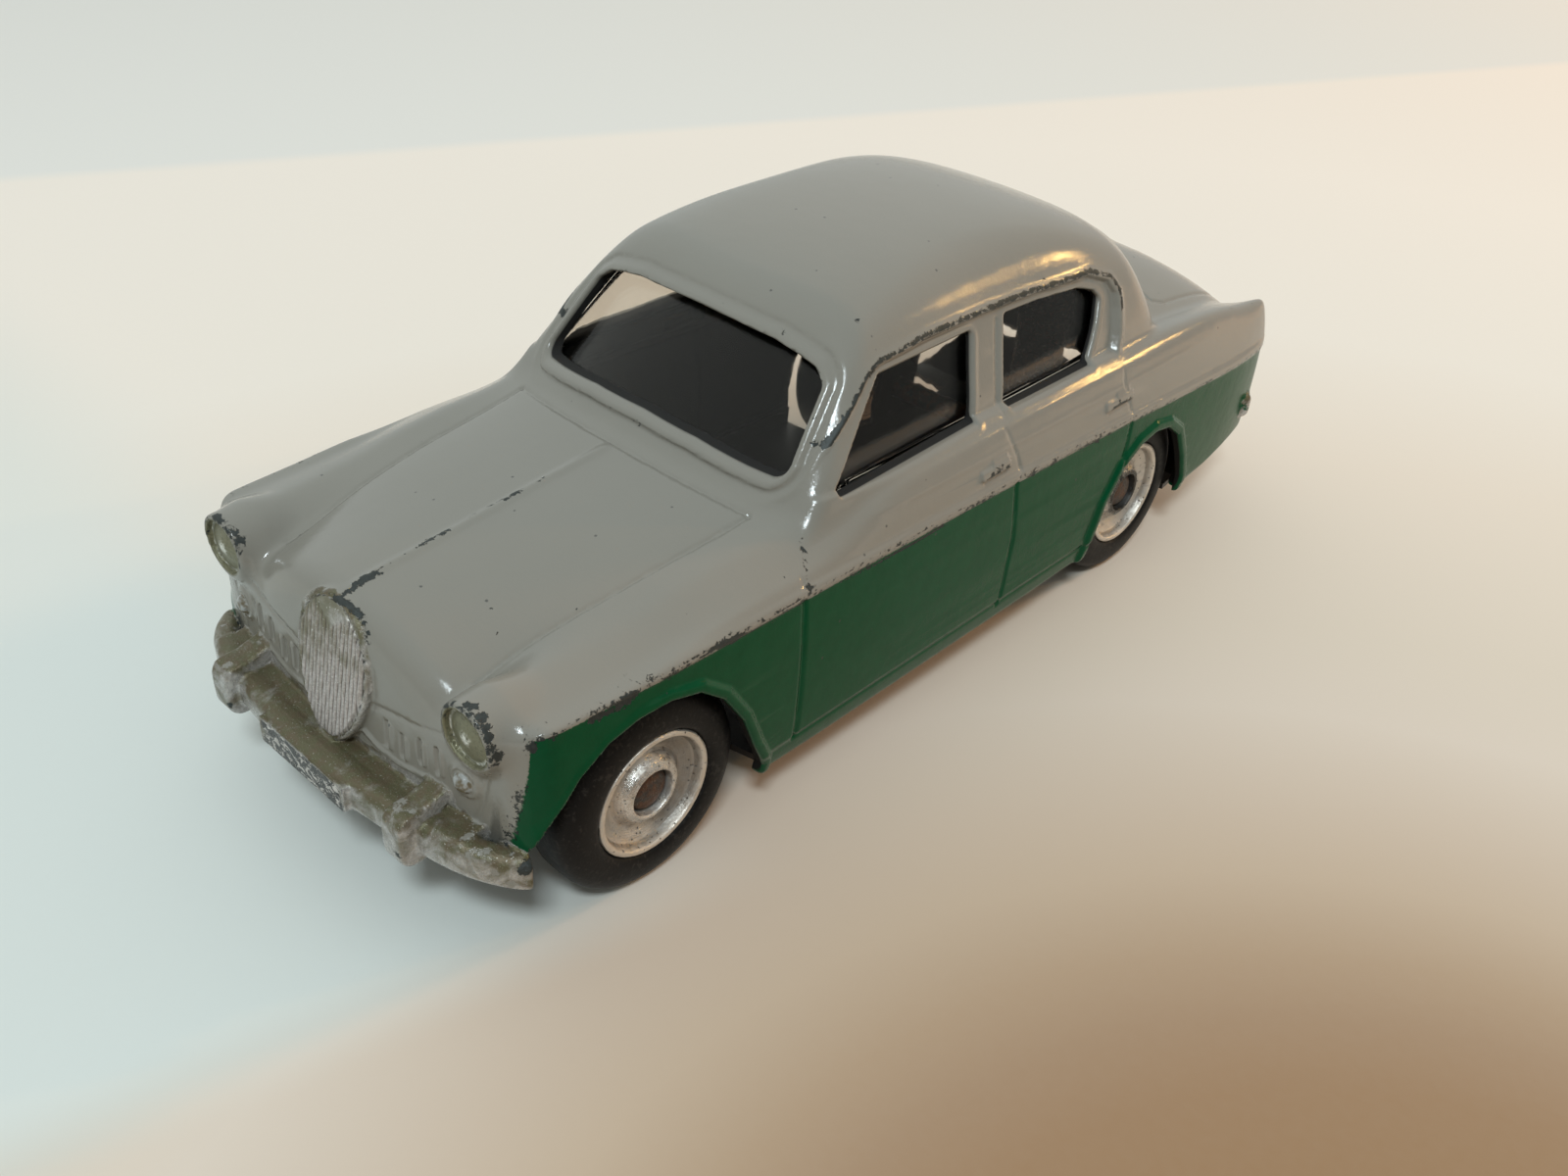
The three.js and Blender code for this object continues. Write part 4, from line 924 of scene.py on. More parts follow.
gl_f = np.concatenate([gl_q, gl_q[:, ::-1] + n_o, np.stack([rim[:, 1], rim[:, 0], rim[:, 0] + n_o, rim[:, 1] + n_o], 1)])
glass = mesh_quads("glazing_clear", gl_all, gl_f)
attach(glass, "body")
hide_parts("glazing")


# ------------------------------------------------------------------ turned pieces
def lathe(name, prof, ang, centre_y, centre_z, side=1, seg=96, axis="x", rounds=2):
    """A profile of (along, radius) turned about X (or about Z at x = 0)."""
    pr = round_path(prof, rounds)
    bm = bmesh.new()
    rings = []
    for a_, r_ in pr:
        ring = []
        for k in range(1 if r_ < 1e-4 else seg):
            t = 2 * math.pi * k / seg
            if axis == "x":
                co = (side * a_, centre_y + r_ * math.cos(t), centre_z + r_ * math.sin(t))
            else:
                co = (r_ * math.cos(t), centre_y + r_ * math.sin(t), a_)
            ring.append(bm.verts.new([c * MM for c in co]))
        rings.append(ring)
    closed = rings[0] is not rings[-1] and len(rings[0]) > 1 and len(rings[-1]) > 1
    pairs = list(zip(rings[:-1], rings[1:])) + ([(rings[-1], rings[0])] if closed else [])
    for A, B in pairs:
        for k in range(seg):
            if len(A) == 1 and len(B) == 1:
                continue
            if len(A) == 1:
                bm.faces.new([A[0], B[k], B[(k + 1) % seg]])
            elif len(B) == 1:
                bm.faces.new([A[k], B[0], A[(k + 1) % seg]])
            else:
                bm.faces.new([A[k], B[k], B[(k + 1) % seg], A[(k + 1) % seg]])
    bmesh.ops.recalc_face_normals(bm, faces=bm.faces)
    me_ = bpy.data.meshes.new(name)
    bm.to_mesh(me_)
    bm.free()
    me_.polygons.foreach_set("use_smooth", [True] * len(me_.polygons))
    ob = bpy.data.objects.new(name, me_)
    bpy.context.scene.collection.objects.link(ob)
    return ob


HUB = [(12.2, 1.06), (12.2, 4.3), (12.3, 4.5), (15.95, 4.6), (16.18, 4.58), (16.27, 4.45), (16.27, 4.3), (16.2, 4.16),
       (15.95, 4.1), (15.72, 4.04), (15.55, 3.9), (15.32, 3.5), (15.1, 3.15), (15.05, 2.95), (15.16, 2.72), (15.5, 2.48),
       (15.9, 2.22), (16.02, 1.98), (16.1, 1.86), (16.1, 1.74), (16.0, 1.66), (15.6, 1.63), (15.34, 1.6), (15.3, 1.5),
       (15.3, 1.06)]
TYRE = [(12.3, 4.62), (12.05, 4.9), (11.96, 5.5), (12.05, 6.3), (12.3, 6.95), (12.75, 7.28), (13.4, 7.4), (14.9, 7.4),
        (15.5, 7.27), (15.98, 6.92), (16.28, 6.35), (16.39, 5.7), (16.38, 5.1), (16.28, 4.8), (16.05, 4.63)]
AXLE = [(-15.93, 0.0), (-15.93, 0.4), (-15.85, 0.95), (-15.7, 1.32), (-15.5, 1.47), (-15.42, 1.4), (-15.4, 1.0),
        (-15.38, 0.99), (15.38, 0.99), (15.4, 1.0), (15.42, 1.4), (15.5, 1.47), (15.7, 1.32), (15.85, 0.95), (15.93, 0.4),
        (15.93, 0.0)]
hubs, tyres, axles = [], [], []
SEG = 112
for end, ay in (("front", FA_Y), ("rear", RA_Y)):
    ax_o = lathe(f"axle_{end}_rod", AXLE, 0, ay, AX_Z, 1, 40)
    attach(ax_o, f"axle_{end}")
    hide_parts(f"{end}_axle")
    axles.append(ax_o)
    for hand, sd in (("left", 1), ("right", -1)):
        h_o = lathe(f"hub_{end}_{hand}_turned", HUB, 0, ay, AX_Z, sd, SEG)
        t_o = lathe(f"tyre_{end}_{hand}_round", TYRE, 0, ay, AX_Z, sd, SEG)
        for o_, nd, sl in ((h_o, f"hub_{end}_{hand}", "spun_aluminium"), (t_o, f"tyre_{end}_{hand}", "black_rubber")):
            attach(o_, f"wheel_{end}_{hand}")
            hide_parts(nd)
        hubs.append(h_o)
        tyres.append(t_o)

# posts with their peened ends under the base
posts = []
for i, py in enumerate((-20.6, 32.0)):
    prof = [(2.95, 0.0), (2.96, 0.9), (3.08, 1.5), (3.35, 1.95), (3.6, 1.98), (3.64, 1.2), (4.26, 1.2), (4.28, 2.2),
            (8.0, 2.3), (float(C_["z0"](py)) - 0.7, 2.5), (float(C_["z0"](py)) - 0.7, 0.0)]
    po = lathe(f"post_{i + 1}", prof, 0, py, 0, 1, 40, "z", 1)
    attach(po, "body")
    posts.append(po)


# ------------------------------------------------------------------ camera from the fit
cam_d = bpy.data.cameras.new("cam")
cam = bpy.data.objects.new("cam", cam_d)
bpy.context.scene.collection.objects.link(cam)
C = Vector((66.002, -77.975, 71.742)) * MM
T = Vector((1.708, -3.542, 2.546)) * MM
fwd = (T - C).normalized()
r0 = fwd.cross(Vector((0, 0, 1))).normalized()
u0 = r0.cross(fwd)
roll = 0.073
R2 = r0 * math.cos(roll) + u0 * math.sin(roll)
U2 = -r0 * math.sin(roll) + u0 * math.cos(roll)
cam.matrix_world = Matrix((
    (R2.x, U2.x, -fwd.x, C.x), (R2.y, U2.y, -fwd.y, C.y), (R2.z, U2.z, -fwd.z, C.z), (0, 0, 0, 1)))
cam_d.sensor_width = 36
cam_d.lens = 36 * 1505.938 / 1600
cam_d.clip_start = 0.005
cam_d.clip_end = 20
bpy.context.scene.camera = cam


# ------------------------------------------------------------------ materials
class Nodes:
    """Short names for building a procedural material; coordinates are in millimetres on the object."""

    def __init__(self, name):
        self.mat = bpy.data.materials.new(name)
        self.mat.use_nodes = True
        self.nt = self.mat.node_tree
        self.bsdf = self.nt.nodes["Principled BSDF"]
        tc = self.nt.nodes.new("ShaderNodeTexCoord")
        mp = self.nt.nodes.new("ShaderNodeMapping")
        mp.inputs["Scale"].default_value = (1000, 1000, 1000)
        self.nt.links.new(tc.outputs["Object"], mp.inputs["Vector"])
        self.co = mp.outputs["Vector"]

    def new(self, kind, **kw):
        n = self.nt.nodes.new("ShaderNode" + kind)
        for k, v in kw.items():
            setattr(n, k, v)
        return n

    def put(self, sock, v):
        if isinstance(v, bpy.types.NodeSocket):
            self.nt.links.new(v, sock)
        elif isinstance(v, tuple) and len(v) == 3 and sock.type == "RGBA":
            sock.default_value = (*v, 1)
        else:
            sock.default_value = v

    def math(self, op, a, b=0.0, c=0.0, clamp=False):
        n = self.new("Math", operation=op, use_clamp=clamp)
        for i, v in enumerate((a, b, c)):
            if i < len(n.inputs):
                self.put(n.inputs[i], v)
        return n.outputs[0]

    def attr(self, name):
        return self.new("Attribute", attribute_name=name).outputs["Fac"]

    def scaled(self, sx, sy, sz):
        mp = self.new("Mapping")
        mp.inputs["Scale"].default_value = (sx, sy, sz)
        self.put(mp.inputs["Vector"], self.co)
        return mp.outputs["Vector"]

    def noise(self, scale, detail=3.0, rough=0.55, vec=None, dist=0.0):
        n = self.new("TexNoise")
        self.put(n.inputs["Vector"], vec or self.co)
        n.inputs["Scale"].default_value = scale
        n.inputs["Detail"].default_value = detail
        n.inputs["Roughness"].default_value = rough
        n.inputs["Distortion"].default_value = dist
        return n.outputs["Fac"]

    def voronoi(self, scale, vec=None, feature="F1"):
        n = self.new("TexVoronoi", feature=feature)
        self.put(n.inputs["Vector"], vec or self.co)
        n.inputs["Scale"].default_value = scale
        return n.outputs["Distance"]

    def step(self, v, lo, hi):
        n = self.new("MapRange", interpolation_type="SMOOTHSTEP")
        self.put(n.inputs["Value"], v)
        n.inputs["From Min"].default_value = min(lo, hi)
        n.inputs["From Max"].default_value = max(lo, hi)
        if lo > hi:
            n.inputs["To Min"].default_value, n.inputs["To Max"].default_value = 1.0, 0.0
        return n.outputs["Result"]

    def mix(self, f, a, b):
        n = self.new("Mix", data_type="RGBA")
        self.put(n.inputs["Factor"], f)
        self.put(n.inputs["A"], a)
        self.put(n.inputs["B"], b)
        return n.outputs["Result"]

    def lerp(self, f, a, b):
        n = self.new("Mix", data_type="FLOAT")
        self.put(n.inputs["Factor"], f)
        self.put(n.inputs["A"], a)
        self.put(n.inputs["B"], b)
        return n.outputs["Result"]

    def bump(self, height, dist, normal=None, strength=1.0):
        n = self.new("Bump")
        n.inputs["Distance"].default_value = dist
        n.inputs["Strength"].default_value = strength
        self.put(n.inputs["Height"], height)
        if normal is not None:
            self.put(n.inputs["Normal"], normal)
        return n.outputs["Normal"]

    def axis(self, which, source=None):
        n = self.new("SeparateXYZ")
        self.put(n.inputs[0], source or self.co)
        return n.outputs["XYZ".index(which)]

    def normal_axis(self, which):
        g = self.new("NewGeometry")
        return self.axis(which, g.outputs["Normal"])

    def done(self, color=None, rough=None, metal=None, normal=None):
        b = self.bsdf
        for key, v in (("Base Color", color), ("Roughness", rough), ("Metallic", metal), ("Normal", normal)):
            if v is not None:
                self.put(b.inputs[key], v)
        return self.mat


def silver_paint(k):
    """Aged silver paint: bright where it is thin, olive brown where it has tarnished."""
    up = k.normal_axis("Z")
    blot = k.noise(0.55, 5, 0.62, dist=0.6)
    fine = k.noise(5.5, 4, 0.7)
    t = k.math("ADD", k.math("MULTIPLY", up, 0.42), k.math("MULTIPLY", blot, 1.5))
    t = k.math("ADD", t, k.math("MULTIPLY", fine, 0.45))
    tar = k.step(t, 0.80, 1.30)
    bright = k.mix(k.step(fine, 0.35, 0.7), (0.36, 0.345, 0.33), (0.62, 0.60, 0.57))
    dull = k.mix(k.step(k.noise(1.7, 3), 0.35, 0.65), (0.125, 0.116, 0.062), (0.135, 0.105, 0.062))
    col = k.mix(tar, bright, dull)
    # painted glints: bright specks mixed into the silver colour
    painted_glint = k.step(k.noise(9.0, 2, 0.5), 0.66, 0.74)
    col = k.mix(k.math("MULTIPLY", painted_glint, 0.6), col, (0.75, 0.74, 0.70))
    rough = k.lerp(tar, 0.24, 0.33)
    return col, rough, fine


# painted casting
k = Nodes("enamel_grey_green")
mid, fine, grain = k.noise(0.9, 3), k.noise(4.5, 3, 0.6), k.noise(16.0, 2)
grey = k.mix(k.noise(0.12, 3), (0.222, 0.210, 0.181), (0.249, 0.236, 0.204))
grey = k.mix(k.step(grain, 0.3, 0.7), grey, (0.236, 0.224, 0.193))
green = k.mix(mid, (0.0010, 0.052, 0.018), (0.0020, 0.073, 0.027))
gm = k.math("ADD", k.attr("green_sd"), k.math("MULTIPLY", k.math("SUBTRACT", fine, 0.5), 0.22))
gmask = k.step(gm, 0.035, -0.045)
paint = k.mix(gmask, grey, green)
# paint darkened towards near-black in recesses
rec = k.step(k.math("ADD", k.attr("recess"), k.math("MULTIPLY", fine, 0.3)), 0.42, 0.85)
paint = k.mix(k.math("MULTIPLY", rec, 0.62), paint, (0.045, 0.045, 0.038))
# tiny pits and flecks all over
fleck = k.step(k.math("ADD", k.voronoi(0.42), k.math("MULTIPLY", grain, 0.06)), 0.085, 0.06)
paint = k.mix(k.math("MULTIPLY", fleck, 0.75), paint, (0.05, 0.05, 0.048))
# silver: bumpers, grille, lamps
s_col, s_rough, s_fine = silver_paint(k)
wob = k.math("MULTIPLY", k.math("SUBTRACT", k.noise(1.1, 4, 0.6), 0.5), 1.1)
s_mask = k.step(k.math("ADD", k.attr("trim_sd"), wob), 0.16, 0.06)
col = k.mix(s_mask, paint, s_col)
lens_r = k.attr("lens_r")
lens_c = k.mix(k.step(k.math("ADD", lens_r, k.math("MULTIPLY", fine, 0.9)), 1.0, 0.55), (0.20, 0.19, 0.12), (0.78, 0.77, 0.70))
lens_c = k.mix(k.step(k.math("ABSOLUTE", k.math("SUBTRACT", lens_r, 1.72)), 0.16, 0.04), lens_c, (0.55, 0.55, 0.48))
lens_c = k.mix(k.math("MULTIPLY", k.step(fine, 0.5, 0.68), 0.5), lens_c, (0.075, 0.07, 0.045))
l_mask = k.step(k.math("ADD", k.attr("lens_sd"), k.math("MULTIPLY", k.math("SUBTRACT", fine, 0.5), 0.25)), 0.03, -0.04)
col = k.mix(l_mask, col, lens_c)
sd_mask = k.step(k.attr("side_sd"), 0.04, -0.04)
side_c = k.mix(k.step(k.noise(1.6, 2), 0.4, 0.6), (0.14, 0.115, 0.075), (0.36, 0.37, 0.36))
col = k.mix(sd_mask, col, side_c)
tl_mask = k.step(k.attr("tail_sd"), 0.04, -0.04)
col = k.mix(tl_mask, col, k.mix(mid, (0.16, 0.008, 0.006), (0.24, 0.012, 0.008)))
# scraped plate block on the bumper
pn = k.noise(1.5, 5, 0.72, k.scaled(1.0, 1.0, 1.6), dist=1.0)
plate_c = k.mix(k.step(pn, 0.52, 0.56), (0.014, 0.012, 0.010), (0.52, 0.49, 0.45))
pmask = k.step(k.math("ADD", k.attr("plate_sd"), k.math("MULTIPLY", wob, 0.5)), 0.05, -0.05)
col = k.mix(pmask, col, plate_c)
# chips down to the casting
jag = k.math("MULTIPLY", k.math("SUBTRACT", k.noise(2.6, 5, 0.66, dist=0.7), 0.5), 0.85)
chip = k.step(k.math("ADD", k.attr("chip_sd"), jag), 0.055, 0.005)
rubn = k.math("ADD", k.math("MULTIPLY", k.attr("rub"), 0.455), k.math("MULTIPLY", k.attr("edge"), 0.28))
rubn = k.math("ADD", rubn, k.noise(1.9, 5, 0.75, dist=0.6))
rub = k.step(rubn, 1.0, 1.04)
chip = k.math("MAXIMUM", chip, rub)
# small chips strung along the edge between the two colours
string = k.math("ADD", k.noise(2.4, 5, 0.72, dist=0.5), k.math("MULTIPLY", k.math("SUBTRACT", k.noise(0.33, 2), 0.5), 0.45))
near = k.step(k.math("ABSOLUTE", k.math("ADD", k.attr("green_sd"), -0.10)), 0.34, 0.16)
chip = k.math("MAXIMUM", chip, k.step(k.math("MULTIPLY", string, near), 0.555, 0.585))
out_mask = k.step(k.attr("inner_sd"), -0.35, -0.2)
chip = k.math("MULTIPLY", chip, out_mask)
chip_c = k.mix(k.noise(3.2, 3), (0.022, 0.026, 0.025), (0.062, 0.070, 0.066))
col = k.mix(chip, col, chip_c)
# painted shade: the inside of the casting is coloured near-black
col = k.mix(out_mask, (0.0115, 0.0105, 0.0095), col)
metal = k.math("MULTIPLY", k.math("MULTIPLY", k.math("MAXIMUM", s_mask, l_mask), k.math("SUBTRACT", 1.0, pmask)), 0.42)
metal = k.math("MULTIPLY", k.lerp(chip, metal, 0.45), out_mask)
rough = k.lerp(k.step(mid, 0.3, 0.7), 0.115, 0.155)
rough = k.lerp(k.math("MULTIPLY", rec, 0.7), rough, 0.5)
rough = k.lerp(s_mask, rough, s_rough)
rough = k.lerp(l_mask, rough, 0.3)
rough = k.lerp(chip, rough, 0.52)
rough = k.lerp(out_mask, 0.85, rough)
nrm = k.bump(k.noise(0.75, 2, 0.4), 0.000045, None, 0.5)
nrm = k.bump(k.math("ADD", fine, k.math("MULTIPLY", grain, 0.5)), 0.000014, nrm, 0.6)
nrm = k.bump(k.math("SUBTRACT", 1.0, chip), 0.00006, nrm, 1.0)
nrm = k.bump(k.math("MULTIPLY", k.math("MAXIMUM", s_mask, l_mask), s_fine), 0.00006, nrm, 0.9)
k.put(k.bsdf.inputs["Specular IOR Level"], k.lerp(gmask, 0.5, 0.13))
paint_mat = k.done(col, rough, metal, nrm)
body.data.materials.append(paint_mat)
for o_ in posts:
    o_.data.materials.append(paint_mat)

# grille face: the same silver, paler
k = Nodes("silver_grille")
fine = k.noise(5.5, 4, 0.7)
zc = k.axis("Z")
xc = k.axis("X")
tarn = k.math("ADD", k.math("MULTIPLY", k.math("SUBTRACT", zc, 14.0), 0.055), k.math("MULTIPLY", xc, -0.035))
tarn = k.step(k.math("ADD", tarn, k.noise(0.8, 4, 0.6)), 0.42, 0.86)
pale = k.mix(k.step(fine, 0.3, 0.7), (0.36, 0.33, 0.315), (0.56, 0.53, 0.51))
dull = k.mix(fine, (0.15, 0.14, 0.095), (0.25, 0.235, 0.17))
col = k.mix(tarn, pale, dull)
# painted shade: the gaps between the grille bars, below the badge, are darkened
wave = k.math("ABSOLUTE", k.math("SINE", k.math("MULTIPLY", k.math("ADD", k.math("DIVIDE", xc, 0.39), 0.5), math.pi)))
zone = k.step(k.math("SUBTRACT", zc, k.math("ADD", 17.3, k.math("MULTIPLY", k.math("ABSOLUTE", xc), 0.75))), 0.1, -0.1)
painted_gap_shade = k.math("MULTIPLY", k.step(wave, 0.55, 0.12), k.math("MULTIPLY", zone, 0.8))
col = k.mix(painted_gap_shade, col, (0.11, 0.095, 0.085))
# painted glints: bright specks mixed into the grille colour
painted_glint = k.step(k.noise(7.0, 2, 0.5), 0.66, 0.72)
col = k.mix(k.math("MULTIPLY", painted_glint, 0.7), col, (0.8, 0.79, 0.77))
nrm = k.bump(fine, 0.00003, None, 0.8)
grille.data.materials.append(k.done(col, k.lerp(tarn, 0.33, 0.42), 0.45, nrm))

# clear moulding, a little smoky with age
k = Nodes("clear_plastic")
k.bsdf.inputs["Base Color"].default_value = (0.86, 0.81, 0.75, 1)
k.bsdf.inputs["IOR"].default_value = 1.32
k.bsdf.inputs["Transmission Weight"].default_value = 1.0
haze = k.step(k.noise(0.5, 4, 0.6), 0.5, 0.8)
nrm = k.bump(k.noise(0.22, 2), 0.00012, None, 0.35)
k.done(None, k.lerp(haze, 0.03, 0.09), None, nrm)
glass.data.materials.append(k.mat)

# black tinplate
k = Nodes("black_tinplate")
n1, n2 = k.noise(1.2, 4, 0.6), k.noise(7.0, 3)
col = k.mix(n1, (0.008, 0.008, 0.008), (0.018, 0.017, 0.016))
scr = k.step(k.noise(2.0, 4, 0.7, k.scaled(1, 0.12, 1)), 0.64, 0.68)
col = k.mix(k.math("MULTIPLY", scr, 0.7), col, (0.16, 0.155, 0.15))
nrm = k.bump(n2, 0.00002, None, 0.6)
tin = k.done(col, k.lerp(n1, 0.32, 0.46), k.math("MULTIPLY", scr, 0.7), nrm)

# axle steel: brown with rust
k = Nodes("axle_rusty_steel")
n1, n2 = k.noise(1.1, 5, 0.65), k.noise(4.5, 4, 0.7)
col = k.mix(k.step(n1, 0.38, 0.62), (0.055, 0.050, 0.046), (0.105, 0.047, 0.024))
col = k.mix(k.step(n2, 0.52, 0.68), col, (0.038, 0.019, 0.011))
col = k.mix(k.math("MULTIPLY", k.step(k.noise(8.0, 2), 0.62, 0.7), 0.6), col, (0.27, 0.22, 0.17))
nrm = k.bump(n2, 0.00007, None, 0.9)
steel = k.done(col, k.lerp(n2, 0.34, 0.6), 0.5, nrm)
for o_ in axles:
    o_.data.materials.append(steel)

# spun aluminium with tarnish, pits and turning marks
k = Nodes("aged_aluminium")
cy, cz, cxx = k.axis("Y"), k.axis("Z"), k.math("ABSOLUTE", k.axis("X"))
ysh = k.math("SUBTRACT", k.math("PINGPONG", k.math("ADD", cy, 31.18), 27.28), 0.0)
# distance from the nearer axle centre
dy1 = k.math("ABSOLUTE", k.math("ADD", cy, -FA_Y))
dy2 = k.math("ABSOLUTE", k.math("SUBTRACT", cy, RA_Y))
dy = k.math("MINIMUM", dy1, dy2)
dz = k.math("SUBTRACT", cz, AX_Z)
rad = k.math("SQRT", k.math("ADD", k.math("MULTIPLY", dy, dy), k.math("MULTIPLY", dz, dz)))
big, med, small = k.noise(0.42, 4, 0.6, dist=0.5), k.noise(1.5, 5, 0.68), k.noise(6.5, 4, 0.7)
col = k.mix(k.step(big, 0.35, 0.65), (0.78, 0.72, 0.65), (0.58, 0.54, 0.50))
col = k.mix(k.math("MULTIPLY", k.step(med, 0.54, 0.68), 0.7), col, (0.27, 0.22, 0.18))
col = k.mix(k.math("MULTIPLY", k.step(k.math("ADD", big, k.math("MULTIPLY", small, 0.35)), 0.72, 0.80), 0.6), col, (0.74, 0.64, 0.52))
dish = k.math("MULTIPLY", k.step(rad, 2.6, 3.0), k.step(rad, 4.1, 3.8))
col = k.mix(k.math("MULTIPLY", dish, 0.22), col, (0.20, 0.17, 0.14))
lip = k.step(rad, 4.05, 4.2)
col = k.mix(k.math("MULTIPLY", lip, 0.65), col, (0.72, 0.64, 0.55))
pits = k.step(k.math("ADD", k.voronoi(2.3), k.math("MULTIPLY", small, 0.22)), 0.3, 0.2)
col = k.mix(k.math("MULTIPLY", pits, 0.8), col, (0.055, 0.045, 0.035))
ring = k.math("MULTIPLY", k.step(rad, 1.6, 1.8), k.step(rad, 2.75, 2.35))
polish = k.math("MULTIPLY", ring, k.step(med, 0.62, 0.4))
col = k.mix(k.math("MULTIPLY", polish, 0.6), col, (0.50, 0.49, 0.47))
groove_r = k.step(k.math("ABSOLUTE", k.math("SUBTRACT", rad, 4.0)), 0.12, 0.03)
col = k.mix(k.math("MULTIPLY", groove_r, 0.6), col, (0.09, 0.07, 0.05))
# painted shade: the bore round the axle end is coloured near-black
inside = k.step(rad, 1.66, 1.58)
col = k.mix(inside, col, (0.02, 0.016, 0.013))
# painted shade: a dark ring at the hub's outer edge, in the gap to the tyre
tyre_gap_shade = k.step(cxx, 16.12, 15.9)
col = k.mix(k.math("MULTIPLY", k.math("MULTIPLY", tyre_gap_shade, k.step(rad, 4.45, 4.55)), 0.85), col, (0.03, 0.026, 0.022))
shade = k.math("MULTIPLY", k.step(k.math("ADD", cy, k.math("MULTIPLY", med, 1.5)), FA_Y + 0.3, FA_Y + 2.4), k.step(cy, 0.0, -1.0))
shade = k.math("MULTIPLY", k.math("MULTIPLY", shade, k.step(rad, 2.3, 2.7)), k.step(rad, 4.3, 3.7))
col = k.mix(k.math("MULTIPLY", shade, 0.62), col, (0.16, 0.145, 0.13))
# painted shadow: the centre of the rear hubs is darkened to near-black
rear_hub_painted_shadow = k.math("MULTIPLY", k.step(k.math("ADD", rad, k.math("MULTIPLY", med, 1.6)), 3.3, 2.7), k.step(cy, 0.0, 1.0))
col = k.mix(k.math("MULTIPLY", rear_hub_painted_shadow, 0.92), col, (0.03, 0.03, 0.028))
lines = k.math("SINE", k.math("MULTIPLY", rad, 46.0))
rough = k.lerp(k.step(med, 0.35, 0.65), 0.30, 0.52)
rough = k.lerp(polish, rough, 0.16)
nrm = k.bump(lines, 0.000006, None, 0.5)
nrm = k.bump(small, 0.00005, nrm, 0.8)
nrm = k.bump(k.math("SUBTRACT", 1.0, pits), 0.00008, nrm, 0.8)
metal = k.lerp(k.step(med, 0.45, 0.65), 0.85, 0.5)
metal = k.math("MULTIPLY", metal, k.math("SUBTRACT", 1.0, inside))
alu = k.done(col, rough, metal, nrm)
for o_ in hubs:
    o_.data.materials.append(alu)

# old rubber
k = Nodes("old_rubber")
n1, n2, n3 = k.noise(0.5, 4), k.noise(3.2, 4, 0.65), k.noise(14.0, 2)
col = k.mix(n1, (0.0030, 0.0029, 0.0030), (0.0065, 0.0060, 0.0060))
dust = k.math("MULTIPLY", k.step(k.math("ADD", n2, k.math("MULTIPLY", n1, 0.4)), 0.72, 0.9), 0.35)
col = k.mix(dust, col, (0.06, 0.052, 0.045))
nrm = k.bump(n2, 0.00003, None, 0.5)
nrm = k.bump(n3, 0.000012, nrm, 0.8)
k.bsdf.inputs["Specular IOR Level"].default_value = 0.2
rubber = k.done(col, k.lerp(n1, 0.42, 0.58), None, nrm)
for o_ in tyres:
    o_.data.materials.append(rubber)

for nname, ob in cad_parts.items():
    if nname == "baseplate":
        ob.data.materials.clear()
        ob.data.materials.append(tin)

# ------------------------------------------------------------------ floor, lights
floor = mesh_from("floor", [(-3000, -3000, 0), (3000, -3000, 0), (3000, 3000, 0), (-3000, 3000, 0)], [(0, 1, 2, 3)])
k = Nodes("pale_sheet_painted_shadow")
fx_, fy_ = k.axis("X"), k.axis("Y")
dx_, dy_ = k.math("SUBTRACT", fx_, 78.0), k.math("ADD", fy_, 38.0)
dist = k.math("SQRT", k.math("ADD", k.math("MULTIPLY", dx_, dx_), k.math("MULTIPLY", dy_, dy_)))
# painted shadow and light falloff: the sheet darkens to brown towards x 78, y -38, beside the car on +X
ramp = k.new("ValToRGB")
ramp.color_ramp.interpolation = "LINEAR"
painted_shadow_stops = [(24, (0.29, 0.17, 0.08)), (33, (0.315, 0.195, 0.105)), (38, (0.35, 0.235, 0.145)), (43, (0.415, 0.30, 0.20)),
         (50, (0.52, 0.415, 0.31)), (56, (0.57, 0.475, 0.38)), (68, (0.67, 0.60, 0.52)), (80, (0.68, 0.615, 0.525)),
         (110, (0.76, 0.69, 0.60)), (140, (0.82, 0.785, 0.72)), (200, (0.87, 0.83, 0.765))]
els = ramp.color_ramp.elements
while len(els) < len(painted_shadow_stops):
    els.new(0.5)
for e_, (r_, c_) in zip(els, painted_shadow_stops):
    e_.position = r_ / 200.0
for e_, (r_, c_) in zip(els, painted_shadow_stops):
    e_.color = (*c_, 1)
k.put(ramp.inputs[0], k.math("DIVIDE", dist, 200.0))
# painted shadow: the car's shadow on the sheet in front of it is painted a cooler tone
cool = k.math("SUBTRACT", fx_, k.math("ADD", 16.0, k.math("MULTIPLY", k.math("ADD", fy_, 42.0), 0.27)))
cool = k.math("MULTIPLY", k.step(cool, 3.0, -5.0), k.step(fy_, -20.0, -44.0))
col = k.mix(cool, ramp.outputs["Color"], (0.715, 0.745, 0.71))
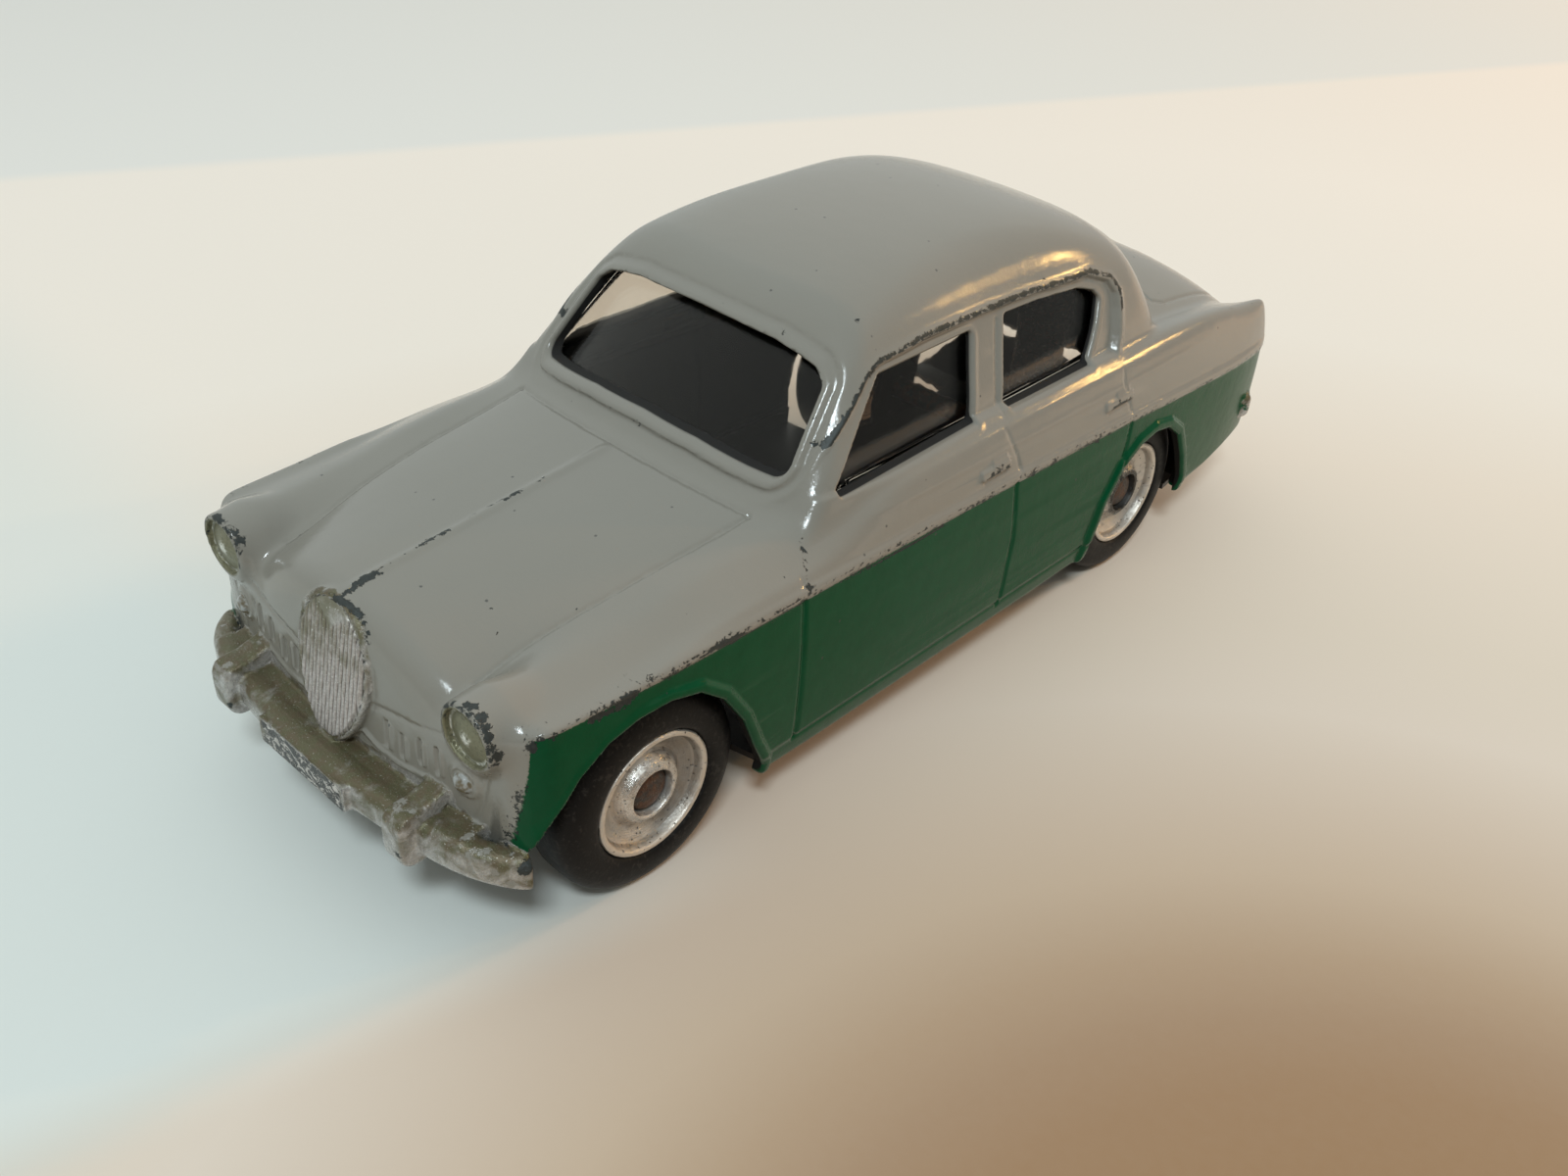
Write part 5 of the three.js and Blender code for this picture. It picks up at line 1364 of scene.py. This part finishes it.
# beyond the edge of the sheet, a cooler wall
edge = k.math("SUBTRACT", k.math("MULTIPLY", k.math("ADD", fx_, 129.0), 0.914), k.math("MULTIPLY", k.math("ADD", fy_, 10.0), 0.405))
col = k.mix(k.step(edge, 1.5, -3.0), col, (0.765, 0.785, 0.765))
fine = k.noise(1.2, 4, 0.6)
col = k.mix(k.math("MULTIPLY", fine, 0.05), col, (0.6, 0.56, 0.5))
floor.data.materials.append(k.done(col, 0.62, None, k.bump(fine, 0.00002, None, 0.4)))

bpy.context.scene.view_settings.view_transform = "Standard"
w = bpy.data.worlds.new("studio")
bpy.context.scene.world = w
w.use_nodes = True
wn = w.node_tree
bg = wn.nodes["Background"]
tc = wn.nodes.new("ShaderNodeTexCoord")
dp = wn.nodes.new("ShaderNodeVectorMath")
dp.operation = "DOT_PRODUCT"
dp.inputs[1].default_value = Vector((-0.62, 0.28, 0.74)).normalized()
wn.links.new(tc.outputs["Generated"], dp.inputs[0])
mr = wn.nodes.new("ShaderNodeMapRange")
mr.inputs["From Min"].default_value = -0.6
mr.inputs["From Max"].default_value = 1.0
wn.links.new(dp.outputs["Value"], mr.inputs["Value"])
wm = wn.nodes.new("ShaderNodeMix")
wm.data_type = "RGBA"
wm.inputs["A"].default_value = (0.13, 0.105, 0.08, 1)
wm.inputs["B"].default_value = (1.02, 1.10, 1.08, 1)
wn.links.new(mr.outputs["Result"], wm.inputs["Factor"])
wn.links.new(wm.outputs["Result"], bg.inputs[0])
bg.inputs[1].default_value = 0.755


def area(name, az, el, dist, size, power, color, size_y=None):
    ld_ = bpy.data.lights.new(name, "AREA")
    ld_.energy, ld_.color = power, color
    ld_.shape = "RECTANGLE"
    ld_.size, ld_.size_y = size, size_y or size
    lo_ = bpy.data.objects.new(name, ld_)
    bpy.context.scene.collection.objects.link(lo_)
    a_, e_ = math.radians(az), math.radians(el)
    lo_.location = (dist * math.sin(a_) * math.cos(e_), -dist * math.cos(a_) * math.cos(e_), dist * math.sin(e_))
    lo_.rotation_euler = (Vector((0, 0, 0.012)) - lo_.location).to_track_quat("-Z", "Y").to_euler()
    return lo_


low = area("lamp_low", 164, 17, 0.8, 0.08, 2.5, (1.0, 0.52, 0.24))
low.visible_glossy = False
area("lamp_warm", 152, 20, 0.7, 0.022, 0.5, (1.0, 0.58, 0.17))
area("window_high", 42, 54, 0.7, 0.15, 2.3, (0.82, 0.94, 1.0), 0.09)
